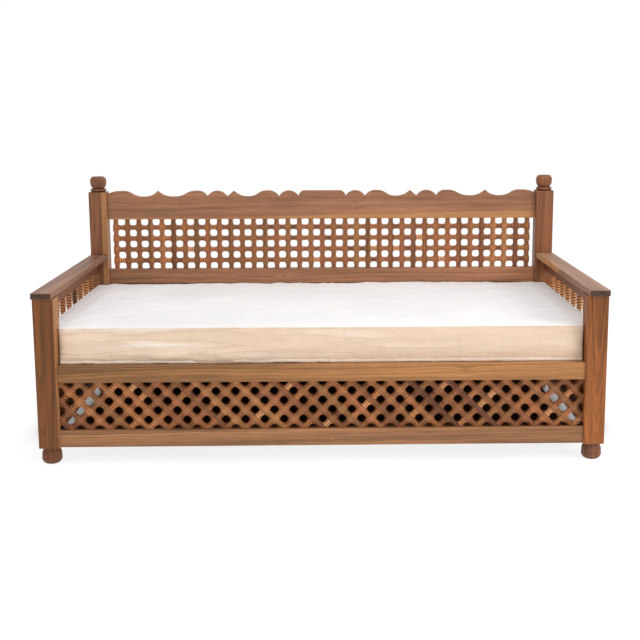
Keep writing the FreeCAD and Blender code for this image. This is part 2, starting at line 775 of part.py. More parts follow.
long_rail(
    "back_lower_rail",
    "back_rail_thickness",
    "back_rail_height",
    (
        -HALF,
        BACK_PLANE - size("back_rail_thickness") / 2,
        size("back_rail_top") - size("back_rail_height"),
    ),
    [lower_holes],
)
node(box("rear_panel_board", *PANEL_SIZES, PANEL_CORNER), "rear_panel")
node(
    box(
        "dust_board_board",
        "clear_length - 2 * dust_board_end_gap",
        DUST_DEPTH,
        "dust_board_thickness",
        (-HALF + size("dust_board_end_gap"), DUST_FRONT, size("dust_board_base")),
    ),
    "dust_board",
)


# --------------------------------------------------------------- scalloped crest rail
def crest_half():
    """The right half of the scalloped edge, from the middle of the rail to the post.

    Heights are from the rail's underside; the scallops run between peak and dip.
    """
    peak = size("crest_height")
    deep = size("crest_dip")
    dip = peak - deep
    flat = size("crest_flat")
    first_notch, second_notch = size("crest_first_notch"), size("crest_second_notch")
    first_swell, first_trough, first_tip = (
        size("crest_first_swell"), size("crest_first_trough"), size("crest_first_tip")
    )
    third_notch, fourth_notch = size("crest_third_notch"), size("crest_fourth_notch")
    second_swell, second_trough, second_tip = (
        size("crest_second_swell"), size("crest_second_trough"), size("crest_second_tip")
    )
    third_trough, third_swell = size("crest_third_trough"), size("crest_third_swell")

    def hump(start, end):
        """A round hump between two notches."""
        return [("arc", (start + end) / 2, peak, end, dip)]

    def convex(start, end, low, high):
        """An arc that bulges upwards, between a low point and a rounded top."""
        toward_top = 0.36 if low < high else 0.6
        through = max(low, high) - abs(high - low) * 0.26
        return [("arc", start + (end - start) * toward_top, through, end, high)]

    def concave(start, end, low, high):
        """An arc that hollows downwards, between a rounded trough and a higher point."""
        toward_trough = 0.6 if low < high else 0.4
        through = min(low, high) + abs(high - low) * 0.28
        return [("arc", start + (end - start) * toward_trough, through, end, high)]

    def fall(start, end):
        """An S from a rounded top down to a trough."""
        middle = (start + end) / 2
        return convex(start, middle, peak, dip + deep / 2) + concave(middle, end, dip + deep / 2, dip)

    def climb(start, end):
        """An S from a trough up to a rounded top."""
        middle = (start + end) / 2
        return concave(start, middle, dip, dip + deep / 2) + convex(middle, end, dip + deep / 2, peak)

    runs = [("line", flat, peak)]
    runs += [("arc", first_notch - (first_notch - flat) * 0.24, peak - deep * 0.32, first_notch, dip)]
    runs += hump(first_notch, second_notch)
    runs += convex(second_notch, first_swell, dip, peak)
    runs += fall(first_swell, first_trough)
    runs += concave(first_trough, first_tip, dip, peak)
    runs += [("line", third_notch, dip)]
    runs += hump(third_notch, fourth_notch)
    runs += convex(fourth_notch, second_swell, dip, peak)
    runs += fall(second_swell, second_trough)
    runs += concave(second_trough, second_tip, dip, peak)
    runs += concave(second_tip, third_trough, peak, dip)
    runs += climb(third_trough, third_swell)
    runs += convex(third_swell, HALF, peak, dip + deep / 2)
    return runs


def mirrored(start, runs):
    """The same runs walked backwards on the other side of the middle."""
    points = [start] + [(numbers[-2], numbers[-1]) for _, *numbers in runs]
    back = []
    for number in range(len(runs) - 1, -1, -1):
        kind, *numbers = runs[number]
        x, z = points[number]
        if kind == "arc":
            back.append(("arc", -numbers[0], numbers[1], -x, z))
        else:
            back.append(("line", -x, z))
    return (-points[-1][0], points[-1][1]), back


half_runs = crest_half()
left_start, left_runs = mirrored((0, size("crest_height")), half_runs)
crest_runs = [("line", *left_start)] + left_runs + half_runs + [("line", HALF, 0)]
crest_board = padded_body(
    "crest_board",
    "XZ_Plane",
    (-HALF, 0),
    crest_runs,
    "crest_thickness",
    (0, BACK_PLANE, size("crest_base")),
    "Symmetric",
)
crest_whole = fuse("crest_whole", [crest_board] + LONG_TENONS["back_crest_rail"])
node(cut("crest_cut", crest_whole, [upper_holes]), "back_crest_rail")

# -------------------------------------------------------------------- ends of the bed
ARM_BASE = SEAT_RAIL_TOP
number = int(size("arm_spindle_count"))
spindle_gap = size("clear_depth") / (number + 1)
arm_ys = [FRONT + size("post_side") + spindle_gap * (step + 1) for step in range(number)]
arm_spindle = turned(arm_spindle_outline(ARM_BASE, ARM_RAIL_BASE))
reach = size("spindle_tenon_length")
for side, sign in SIDES:
    x = sign * SIDE_PLANE
    spindles = [moved(arm_spindle, x, y, 0) for y in arm_ys]
    node(feature(f"{side}_spindle_set", Part.makeCompound(spindles)), f"{side}_arm_spindles")
    low_tools = [Vector(x, y, ARM_BASE - reach) for y in arm_ys]
    high_tools = [Vector(x, y, ARM_RAIL_BASE) for y in arm_ys]
    radius = size("spindle_tenon_radius")
    holes = feature(f"{side}_spindle_holes", Part.makeCompound(
        [Part.makeCylinder(radius, reach, spot) for spot in low_tools + high_tools]
    ))
    beam_end = box(
        f"{side}_beam_mortise",
        "groove_depth",
        "beam_width",
        "beam_height",
        (
            SIDE_PLANE - size("side_rail_thickness") / 2
            if sign > 0
            else -SIDE_PLANE + size("side_rail_thickness") / 2 - size("groove_depth"),
            (FRONT_INNER + REAR_RAIL_Y - size("beam_width")) / 2,
            SLAT_BASE - size("beam_height"),
        ),
    )
    for piece_name, height, base in (
        ("seat_rail", "rail_height", size("seat_rail_base")),
        ("bottom_rail", "rail_height", size("bottom_rail_base")),
        ("arm_rail", "arm_rail_height", ARM_RAIL_BASE),
    ):
        label = f"{side}_{piece_name}"
        corner = (x - size("side_rail_thickness") / 2, FRONT + size("post_side"), base)
        timber = box(f"{label}_timber", "side_rail_thickness", "clear_depth", height, corner)
        eased = chamfered(f"{label}_eased", timber, "rail_arris", (ALONG_Y,))
        whole = fuse(f"{label}_whole", [eased] + SIDE_TENONS[label])
        tools = {"seat_rail": [holes, beam_end], "arm_rail": [holes]}.get(piece_name)
        node(cut(f"{label}_cut", whole, tools) if tools else whole, label)

# ------------------------------------------------------------------ slats and cleats
for end, y in (("front", FRONT_INNER), ("rear", REAR_RAIL_Y - size("cleat_side"))):
    corner = (-size("cleat_length") / 2, y, CLEAT_BASE)
    timber = box(f"{end}_cleat_timber", "cleat_length", "cleat_side", "cleat_side", corner)
    node(cut(f"{end}_cleat_cut", timber, [slat_screws, cleat_screw_set]), f"{end}_cleat")

SLAT_LENGTH = "post_side + clear_depth + post_side - 2 * rail_setback - 2 * rail_thickness - 2 * slat_gap"
for order, x in enumerate(SLAT_XS, start=1):
    label = f"slat_{order:02d}"
    corner = (x - size("slat_width") / 2, FRONT_INNER + size("slat_gap"), SLAT_BASE)
    board = box(f"{label}_board", "slat_width", SLAT_LENGTH, "slat_thickness", corner)
    eased = chamfered(f"{label}_eased", board, "rail_arris", (ALONG_Y,))
    node(cut(f"{label}_cut", eased, [slat_screws]), label)

beam_half = SIDE_PLANE - size("side_rail_thickness") / 2 + size("groove_depth")
node(
    box(
        "slat_beam_timber",
        "clear_length + 2 * post_side - 2 * side_rail_inset - 2 * side_rail_thickness + 2 * groove_depth",
        "beam_width",
        "beam_height",
        (-beam_half, (FRONT_INNER + REAR_RAIL_Y - size("beam_width")) / 2, SLAT_BASE - size("beam_height")),
    ),
    "slat_support_beam",
)

# -------------------------------------------------------------------------- mattress
def mattress_block():
    """A plain block, notched at its corners to pass the four posts."""
    play = size("mattress_notch")
    low, high = FRONT + size("mattress_front"), FRONT + size("mattress_rear")
    long, short = size("mattress_half_length"), HALF - play
    first, second = FRONT + size("post_side") + play, REAR_POST - play
    corners = [
        (-short, low), (short, low), (short, first), (long, first), (long, second), (short, second),
        (short, high), (-short, high), (-short, second), (-long, second), (-long, first), (-short, first),
    ]
    sides = [("line", *corner) for corner in corners[1:]]
    spot = (0, 0, size("mattress_base"))
    return padded_body(
        "mattress_body", "XY_Plane", corners[0], sides, "mattress_thickness", spot, "One side"
    )


node(mattress_block(), "mattress")

# ---------------------------------------------------------------- check, then write
doc.recompute()
for item in doc.Objects:
    assert not {"Invalid", "Error"} & set(item.State), f"{item.Name}: {item.State}"
for piece in NODES:
    assert not piece.Shape.isNull() and piece.Shape.isValid(), f"{piece.Label} has no sound shape"
    assert piece.Shape.Volume > 0, f"{piece.Label} is empty"

os.makedirs("parts", exist_ok=True)
for piece in NODES:
    piece.Shape.exportStep(f"parts/{piece.Label}.step")
    print(f"{piece.Label}: {len(piece.Shape.Solids)} solids, {piece.Shape.Volume / 1e6:.3f} litres")
print(f"{len(NODES)} nodes")
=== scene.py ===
import math
import random

import bpy
import numpy as np
from mathutils import Euler, Matrix, Vector, noise


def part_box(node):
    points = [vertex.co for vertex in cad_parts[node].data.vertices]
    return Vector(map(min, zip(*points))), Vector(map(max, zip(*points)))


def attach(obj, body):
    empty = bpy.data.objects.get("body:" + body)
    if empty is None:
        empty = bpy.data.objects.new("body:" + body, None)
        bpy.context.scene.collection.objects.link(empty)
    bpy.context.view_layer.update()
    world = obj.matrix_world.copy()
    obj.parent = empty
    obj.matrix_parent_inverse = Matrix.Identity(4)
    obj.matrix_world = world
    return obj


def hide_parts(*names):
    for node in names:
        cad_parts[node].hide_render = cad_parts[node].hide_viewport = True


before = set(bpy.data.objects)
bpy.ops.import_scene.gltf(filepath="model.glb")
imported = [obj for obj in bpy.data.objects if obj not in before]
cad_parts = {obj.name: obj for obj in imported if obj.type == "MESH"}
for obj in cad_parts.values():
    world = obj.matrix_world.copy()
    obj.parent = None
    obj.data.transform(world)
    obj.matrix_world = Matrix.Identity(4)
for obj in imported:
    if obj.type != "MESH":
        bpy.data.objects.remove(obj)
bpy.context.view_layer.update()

chance = random.Random(11)


# --------------------------------------------------------------------- node trees
def paint(red, green, blue):
    """A display colour, 0 to 255, as the linear colour that a shader socket takes."""
    linear = []
    for channel in (red, green, blue):
        share = channel / 255
        linear.append(share / 12.92 if share <= 0.04045 else ((share + 0.055) / 1.055) ** 2.4)
    return (*linear, 1.0)


class Graph:
    """A material and short ways to add nodes to it."""

    def __init__(self, name):
        self.material = bpy.data.materials.new(name)
        self.material.use_nodes = True
        self.tree = self.material.node_tree
        self.tree.nodes.clear()

    def add(self, kind, inputs=(), **settings):
        node = self.tree.nodes.new(kind)
        for key, value in settings.items():
            setattr(node, key, value)
        for key, value in dict(inputs).items():
            self.feed(node.inputs[key], value)
        return node

    def feed(self, socket, value):
        if isinstance(value, bpy.types.NodeSocket):
            self.tree.links.new(value, socket)
        else:
            socket.default_value = value

    def math(self, operation, *values, clamp=False):
        inputs = dict(enumerate(values))
        return self.add("ShaderNodeMath", inputs, operation=operation, use_clamp=clamp).outputs[0]

    def vector(self, operation, *values):
        inputs = dict(enumerate(values))
        node = self.add("ShaderNodeVectorMath", inputs, operation=operation)
        return node.outputs["Value" if operation == "LENGTH" else "Vector"]

    def split(self, vector):
        return self.add("ShaderNodeSeparateXYZ", {0: vector}).outputs

    def join(self, x, y, z):
        return self.add("ShaderNodeCombineXYZ", {0: x, 1: y, 2: z}).outputs[0]

    def noise(self, vector, stretch=(1, 1, 1), detail=2.0, roughness=0.5, distortion=0.0):
        """Noise from 0 to 1; stretch is how many cells there are per metre along each axis."""
        scaled = self.vector("MULTIPLY", vector, stretch)
        inputs = {
            "Vector": scaled, "Scale": 1.0, "Detail": detail,
            "Roughness": roughness, "Distortion": distortion,
        }
        return self.add("ShaderNodeTexNoise", inputs).outputs["Fac"]

    def span(self, value, low, high, to_low=0.0, to_high=1.0):
        """value from low..high mapped to to_low..to_high, smoothly and clamped."""
        inputs = {"Value": value, "From Min": low, "From Max": high, "To Min": to_low, "To Max": to_high}
        return self.add("ShaderNodeMapRange", inputs, interpolation_type="SMOOTHSTEP").outputs[0]

    def ramp(self, factor, stops):
        node = self.add("ShaderNodeValToRGB", {"Fac": factor})
        elements = node.color_ramp.elements
        while len(elements) < len(stops):
            elements.new(0.5)
        for element, (place, colour) in zip(elements, stops):
            element.position = place
            element.color = colour
        return node.outputs["Color"]

    def mix(self, factor, first, second, blend="MIX"):
        node = self.add("ShaderNodeMix", data_type="RGBA", blend_type=blend)
        for place, value in ((0, factor), (6, first), (7, second)):
            self.feed(node.inputs[place], value)
        return node.outputs[2]

    def bump(self, height, strength, distance, normal=None):
        inputs = {"Height": height, "Strength": strength, "Distance": distance}
        if normal is not None:
            inputs["Normal"] = normal
        return self.add("ShaderNodeBump", inputs).outputs["Normal"]

    def finish(self, colour, roughness, normal=None, **constants):
        shader = self.add("ShaderNodeBsdfPrincipled", {"Base Color": colour, "Roughness": roughness})
        if normal is not None:
            self.feed(shader.inputs["Normal"], normal)
        for key, value in constants.items():
            shader.inputs[key.replace("_", " ")].default_value = value
        output = self.add("ShaderNodeOutputMaterial")
        self.tree.links.new(shader.outputs[0], output.inputs[0])
        return self.material


# --------------------------------------------------------------------------- wood
GRAIN_ORDER = {"X": (0, 1, 2), "Y": (1, 0, 2), "Z": (2, 0, 1)}
GOLD = paint(206, 150, 92)
RED = paint(148, 90, 68)
BLOND = paint(222, 166, 116)
SAP_DARK = paint(170, 116, 70)
SAP_LIGHT = paint(204, 148, 94)


def shades(mean, spread):
    """Dark, medium and light versions of a timber's mean colour."""
    dark = tuple(channel * (1 - 0.42 * spread) for channel in mean)
    light = tuple(min(channel * (1 + 0.27 * spread), 255) for channel in mean)
    return paint(*dark), paint(*mean), paint(*light)


def wood(
    name,
    grain,
    seed,
    mean,
    spread=1.0,
    centre=(0, 0, 0),
    pith=(0.05, 0.09),
    taper=0.012,
    figure=0.6,
    lines=0.45,
    knots=(),
    sap=None,
    painted_shadow=None,
    drift=0.0,
    ends=0.5,
    gloss=0.5,
):
    """Oiled hardwood.

    grain is the axis that the fibres follow, or "piece" for a mesh that carries its own
    grain coordinates. mean is the timber's overall colour and spread its contrast; figure
    and lines are the strength of the broad bands and of the thin dark growth lines. The
    rings run round a pith that lies beside the piece's centre and widen by taper along it.
    knots are (along, height, radius); sap gives how far the pale sapwood covers, and the soil
    argument paints a shadow where another part shades the timber; drift lightens it along the
    grain; ends is the shade of its end grain; gloss is its middle roughness. Ambient occlusion
    paints shade into corners and joints, and on carved pieces the groove attribute paints shade
    in the grooves and a highlight on the rings.
    """
    g = Graph(name)
    place = g.add("ShaderNodeTexCoord").outputs["Object"]
    carved = grain == "piece"
    if carved:
        along = g.add("ShaderNodeAttribute", attribute_name="grain").outputs["Vector"]
    else:
        parts = g.split(place)
        along = g.join(*(parts[axis] for axis in GRAIN_ORDER[grain]))
    middle = [centre[axis] for axis in GRAIN_ORDER.get(grain, (0, 1, 2))]
    shifted = g.vector("ADD", along, (seed * 1.37, seed * 0.211, seed * 0.173))

    wander = g.noise(shifted, (1.5, 4, 4), detail=2)
    ripple = g.noise(shifted, (7, 16, 16), detail=2)
    parts = g.split(along)
    across = g.math("ADD", parts[1], pith[0] - middle[1])
    up = g.math("ADD", parts[2], pith[1] - middle[2])
    reach = g.vector("LENGTH", g.join(0.0, across, up))
    reach = g.math("SUBTRACT", reach, g.math("MULTIPLY", parts[0], taper))
    reach = g.math("ADD", reach, g.math("MULTIPLY", wander, 0.04))
    reach = g.math("ADD", reach, g.math("MULTIPLY", ripple, 0.006))
    knot_dark = None
    for x, z, radius in knots:
        away = g.join(
            g.math("MULTIPLY", g.math("SUBTRACT", parts[0], x), 0.62), 0.0, g.math("SUBTRACT", parts[2], z)
        )
        distance = g.vector("LENGTH", away)
        pull = g.span(distance, 0.0, radius * 6, 1.0, 0.0)
        reach = g.math("ADD", reach, g.math("MULTIPLY", pull, radius * 1.5))
        eye = g.span(distance, radius * 0.2, radius * 0.8, 1.0, 0.0)
        knot_dark = eye if knot_dark is None else g.math("MAXIMUM", knot_dark, eye)
    layer = g.join(reach, g.math("MULTIPLY", parts[0], 0.35), seed)
    bands = g.noise(layer, (95, 1, 1), detail=3, roughness=0.6)
    growth = g.noise(layer, (330, 1.6, 1), detail=2, roughness=0.55)

    streaks = g.noise(shifted, (2.6, 85, 85), detail=4, roughness=0.72)
    dashes = g.noise(shifted, (9, 260, 260), detail=2, roughness=0.6)
    fibres = g.noise(shifted, (16, 620, 620), detail=3, roughness=0.6)
    pores = g.noise(shifted, (70, 1500, 1500), detail=1)
    patches = g.noise(shifted, (0.9, 6, 6), detail=2)

    value = g.math("MULTIPLY", g.math("SUBTRACT", bands, 0.5), figure * 1.7)
    value = g.math("ADD", value, g.math("MULTIPLY", g.math("SUBTRACT", streaks, 0.5), 1.15 * figure))
    value = g.math("ADD", value, g.math("MULTIPLY", g.math("SUBTRACT", dashes, 0.5), 0.45))
    value = g.math("ADD", value, g.math("MULTIPLY", g.math("SUBTRACT", patches, 0.5), 0.9))
    value = g.math("ADD", value, g.math("MULTIPLY", g.math("SUBTRACT", parts[0], middle[0]), drift))
    value = g.math("ADD", value, 0.5)
    if carved:
        tone = g.add("ShaderNodeAttribute", attribute_name="tone").outputs["Fac"]
        value = g.math("ADD", value, g.math("SUBTRACT", tone, 0.5))
    dark, medium, light = shades(mean, spread)
    colour = g.ramp(value, [(0.06, dark), (0.5, medium), (0.94, light)])
    if carved:
        blush = g.add("ShaderNodeAttribute", attribute_name="blush").outputs["Fac"]
        colour = g.mix(g.math("SUBTRACT", blush, 0.5, clamp=True), colour, GOLD)
        colour = g.mix(g.math("SUBTRACT", 0.5, blush, clamp=True), colour, RED)
        colour = g.mix(g.span(tone, 0.8, 1.0, 0.0, 0.75), colour, BLOND)
    if sap is not None:
        pale = sap(g, place, wander)
        sap_colour = g.ramp(streaks, [(0.3, SAP_DARK), (0.7, SAP_LIGHT)])
        colour = g.mix(pale, colour, sap_colour)
    thin = g.span(growth, 0.58, 0.7, 1.0, 1.0 - lines)
    if sap is not None:
        thin = g.math("ADD", thin, g.math("MULTIPLY", pale, lines * 0.6), clamp=True)
    grime = g.math("MULTIPLY", thin, g.span(fibres, 0.36, 0.62, 0.88, 1.04))
    specks = g.span(pores, 0.28, 0.38, 0.74, 1.0)
    shade = g.math("MULTIPLY", grime, specks)
    # Painted shade: ambient occlusion darkens the colour in corners, joints and between parts.
    near = g.add("ShaderNodeAmbientOcclusion", {"Distance": 0.014}, samples=4).outputs["AO"]
    shade = g.math("MULTIPLY", shade, g.span(near, 0.2, 0.8, 0.65 if carved else 0.42, 1.0))
    if painted_shadow is not None:
        # Painted shadow cast by a neighbouring part, where one is given.
        shade = g.math("MULTIPLY", shade, painted_shadow(g, place))
    if carved:
        # Painted shade in the grooves and at the eased block ends; painted highlight on the round of each
        # ring.
        groove = g.add("ShaderNodeAttribute", attribute_name="groove").outputs["Fac"]
        shade = g.math("MULTIPLY", shade, g.span(groove, 0.2, 0.9, 1.0, 0.2))
        shade = g.math("MULTIPLY", shade, g.span(groove, -0.5, 0.0, 1.36, 1.0))
    else:
        facing = g.split(g.add("ShaderNodeNewGeometry").outputs["True Normal"])
        cut_end = g.math("ABSOLUTE", facing["XYZ".index(grain)])
        shade = g.math("MULTIPLY", shade, g.span(cut_end, 0.86, 0.97, 1.0, ends))
    if knot_dark is not None:
        shade = g.math("MULTIPLY", shade, g.math("SUBTRACT", 1.0, g.math("MULTIPLY", knot_dark, 0.5)))
    colour = g.mix(1.0, colour, g.join(shade, shade, shade), "MULTIPLY")

    rough = g.span(streaks, 0.2, 0.8, gloss - 0.06, gloss + 0.1)
    height = g.math("ADD", g.math("MULTIPLY", fibres, 0.6), g.math("MULTIPLY", specks, 0.7))
    height = g.math("ADD", height, g.math("MULTIPLY", thin, 0.5))
    normal = g.bump(height, 0.35, 0.0006)
    swell = g.noise(shifted, (3, 28, 28), detail=1)
    normal = g.bump(swell, 0.25, 0.003, normal)
    return g.finish(colour, rough, normal, Specular_IOR_Level=0.3)


def crest_sap(g, place, wander):
    """Pale sapwood along the lower edge of the scalloped rail, wider to the right."""
    low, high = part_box("back_crest_rail")
    x, _, z = g.split(place)[:3]
    height = g.span(x, low.x * 0.75, high.x * 0.9, 0.004, 0.031)
    height = g.math("ADD", height, g.math("MULTIPLY", g.math("SUBTRACT", wander, 0.5), 0.02))
    above = g.math("SUBTRACT", g.math("SUBTRACT", z, low.z), height)
    return g.span(above, -0.003, 0.004, 0.85, 0.0)


def inner_sap(node, width, strength):
    """Pale sapwood down the inner edge of a left post: how wide it is, and how pale."""
    def sap(g, place, wander):
        edge = g.math("SUBTRACT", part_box(node)[1].x - width, g.split(place)[0])
        edge = g.math("ADD", edge, g.math("MULTIPLY", g.math("SUBTRACT", wander, 0.5), width * 0.45))
        return g.span(edge, -0.004, 0.003, strength, 0.0)
    return sap


def contact_shadow_painted(g, place):
    """A painted shadow: a dark broken line on the lower back rail where the mattress's rear edge shades it.
    """
    x, _, z = g.split(place)[:3]
    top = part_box("mattress")[1].z
    patchy = g.noise(g.join(x, 0.0, 0.0), (38, 0, 0), detail=1)
    line = g.span(z, top + 0.004, top + 0.008, 0.15, 1.0)
    return g.math("MAXIMUM", line, g.span(patchy, 0.5, 0.62))


def cap_sap(g, place, wander):
    """Pale wood on the inner face of the right arm cap, from the rear post to a rounded end."""
    low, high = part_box("right_arm_cap")
    x, y, z = g.split(place)[:3]
    start = low.y + (high.y - low.y) * 0.5
    drop = g.math("DIVIDE", g.math("SUBTRACT", high.z, z), high.z - low.z)
    bend = g.math("MULTIPLY", g.math("MULTIPLY", drop, drop), 0.05)
    rear = g.math("SUBTRACT", g.math("SUBTRACT", y, start), bend)
    length = g.span(rear, -0.004, 0.006)
    depth = g.math("SUBTRACT", g.math("SUBTRACT", x, low.x), g.math("MULTIPLY", wander, 0.002))
    return g.math("MULTIPLY", length, g.span(depth, 0.0005, 0.002, 1.0, 0.0))


WALNUT = (108, 64, 34)
UMBER = (125, 74, 34)
RUSSET = (153, 90, 44)
CHESTNUT = (132, 84, 56)
HAZEL = (140, 88, 56)
HONEY = (163, 113, 68)
ROSE = (155, 108, 72)
CREST = (160, 111, 81)
GREYED = (144, 106, 82)
LATTICE = (155, 97, 58)
DUSTY = (141, 101, 76)
PALE = (178, 138, 96)
# Near black brown: painted shade for the dark space under the seat.
INTERIOR_SHADE_BROWN = (74, 49, 34)

TIMBER = {
    "front_left_post": (
        "Z", 1.0, UMBER,
        {
            "sap": inner_sap("front_left_post", 0.002, 0.8),
            "figure": 0.6,
            "lines": 0.3,
            "pith": (0.02, 0.06),
            "taper": 0.03,
        },
    ),
    "front_right_post": (
        "Z", 2.3, RUSSET,
        {"figure": 0.8, "lines": 0.35, "pith": (-0.006, 0.026), "taper": 0.1, "drift": -0.35},
    ),
    "rear_left_post": ("Z", 3.1, CHESTNUT, {"sap": inner_sap("rear_left_post", 0.022, 0.6), "lines": 0.25}),
    "rear_right_post": ("Z", 4.7, HAZEL, {"lines": 0.25}),
    "front_left_foot": ("Z", 5.2, WALNUT, {}),
    "front_right_foot": ("Z", 6.4, CHESTNUT, {}),
    "rear_left_foot": ("Z", 7.9, CHESTNUT, {}),
    "rear_right_foot": ("Z", 8.3, CHESTNUT, {}),
    "left_finial": ("Z", 9.6, CHESTNUT, {"lines": 0.2}),
    "right_finial": ("Z", 10.1, HAZEL, {"lines": 0.2}),
    "left_arm_cap": ("Y", 11.5, DUSTY, {"lines": 0.3, "ends": 0.24}),
    "right_arm_cap": ("Y", 12.2, GREYED, {"sap": cap_sap, "lines": 0.3, "ends": 0.3}),
    "left_arm_rail": ("Y", 13.8, HAZEL, {}),
    "right_arm_rail": ("Y", 14.4, CHESTNUT, {}),
    "left_seat_rail": ("Y", 15.3, CHESTNUT, {}),
    "right_seat_rail": ("Y", 16.9, CHESTNUT, {}),
    "left_bottom_rail": ("Y", 17.2, CHESTNUT, {}),
    "right_bottom_rail": ("Y", 18.6, CHESTNUT, {}),
    "front_seat_rail": ("X", 19.4, HONEY, {"drift": 0.2, "knots": ((0.52, 0.34, 0.006),)}),
    "rear_seat_rail": ("X", 20.8, CHESTNUT, {}),
    "front_bottom_rail": ("X", 21.5, ROSE, {"figure": 0.7, "knots": ((0.02, 0.085, 0.005),)}),
    "rear_bottom_rail": ("X", 22.7, CHESTNUT, {}),
    "back_lower_rail": (
        "X", 23.9, CREST,
        {
            # A painted shadow where the mattress shades the rail.
            "painted_shadow": contact_shadow_painted,
            "lines": 0.25,
            "knots": ((-0.42, 0.53, 0.006), (-0.17, 0.535, 0.008)),
        },
    ),
    "back_crest_rail": (
        "X", 24.3, CREST,
        {
            "sap": crest_sap,
            "lines": 0.22,
            "figure": 0.5,
            "knots": (
                (0.145, 0.868, 0.006), (0.15, 0.838, 0.005), (-0.63, 0.875, 0.006), (-0.2, 0.882, 0.006),
            ),
        },
    ),
    # The rear panel and dust board are painted near black: painted shade for the space under the seat.
    "rear_panel": ("X", 25.2, INTERIOR_SHADE_BROWN, {}),
    "dust_board": ("X", 26.1, INTERIOR_SHADE_BROWN, {}),
    "front_cleat": ("X", 28.4, PALE, {}),
    "rear_cleat": ("X", 29.5, PALE, {}),
    "slat_support_beam": ("X", 30.9, PALE, {}),
}


def steel(name):
    """Dull zinc-plated steel for the countersunk screws."""
    g = Graph(name)
    place = g.add("ShaderNodeTexCoord").outputs["Object"]
    blotches = g.noise(place, (180, 180, 180), detail=3)
    scratches = g.noise(place, (900, 3000, 900), detail=2)
    colour = g.ramp(blotches, [(0.3, paint(128, 124, 116)), (0.7, paint(176, 172, 164))])
    rough = g.span(blotches, 0.3, 0.7, 0.32, 0.5)
    return g.finish(colour, rough, g.bump(scratches, 0.2, 0.0002), Metallic=1.0)


def dress(node, material):
    """Gives a CAD node its material."""
    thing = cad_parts[node]
    if not thing.material_slots:
        thing.data.materials.append(material)
    for place in thing.material_slots:
        place.material = material


def middle_of(node):
    low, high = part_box(node)
    return tuple((low + high) / 2)


for node, (grain, seed, mean, options) in TIMBER.items():
    dress(node, wood(node, grain, seed, mean, centre=middle_of(node), **options))
for number in range(1, 16):
    node = f"slat_{number:02d}"
    dress(node, wood(node, "Y", 40.0 + number * 1.7, PALE, centre=middle_of(node)))
for node in ("slat_screws", "cleat_screws"):
    dress(node, steel(node))


# ------------------------------------------------------------------- turned lattice
ROUND_POINTS = 24
CORNER_STEPS = (0.0, 22.5, 45.0, 67.5, 90.0)


def circle(radius):
    angles = np.arange(ROUND_POINTS) * 2 * math.pi / ROUND_POINTS
    return np.stack([np.cos(angles), np.sin(angles)], 1) * radius


def square(half, corner):
    """A square section with rounded corners, with as many points as the circle."""
    points = []
    for quarter in range(4):
        turn = Matrix.Rotation(math.radians(90 * quarter), 2)
        points.append(turn @ Vector((half, 0)))
        for angle in CORNER_STEPS:
            a = math.radians(angle)
            spot = Vector((half - corner + corner * math.cos(a), half - corner + corner * math.sin(a)))
            points.append(turn @ spot)
    return np.array([tuple(p) for p in points])


def block_sections(start, end, half, corner):
    """Sections of a square block with eased ends; their groove values paint shade at the ends."""
    ease = corner * 0.8
    return [
        (start, square(half - ease, corner), 0.55),
        (start + ease * 0.35, square(half - ease * 0.3, corner), 0.12),
        (start + ease, square(half, corner), 0.0),
        (end - ease, square(half, corner), 0.0),
        (end - ease * 0.35, square(half - ease * 0.3, corner), 0.12),
        (end, square(half - ease, corner), 0.55),
    ]


RING_SHAPE = ((0.13, 0.0), (0.23, 0.82), (0.5, 1.0), (0.77, 0.82), (0.87, 0.0))


def ring_sections(start, end, neck, rims):
    """Sections of a stretch of rounded rings, one for each of rims, between two ends.

    A section is (place along the axis, outline, groove). groove is 1 in a groove, where the
    material paints shade, and below 0 on the round of a ring, where it paints a highlight.
    """
    step = (end - start) / len(rims)
    sections = [(start + step * 0.02, circle(neck), 1.0)]
    for ring, rim in enumerate(rims):
        bulge = rim * chance.uniform(0.98, 1.01)
        for share, height in RING_SHAPE:
            radius = neck + (bulge - neck) * height
            groove = 1.0 if height == 0 else -0.5 * height
            sections.append((start + (ring + share) * step, circle(radius), groove))
    sections.append((end - step * 0.02, circle(neck), 1.0))
    return sections


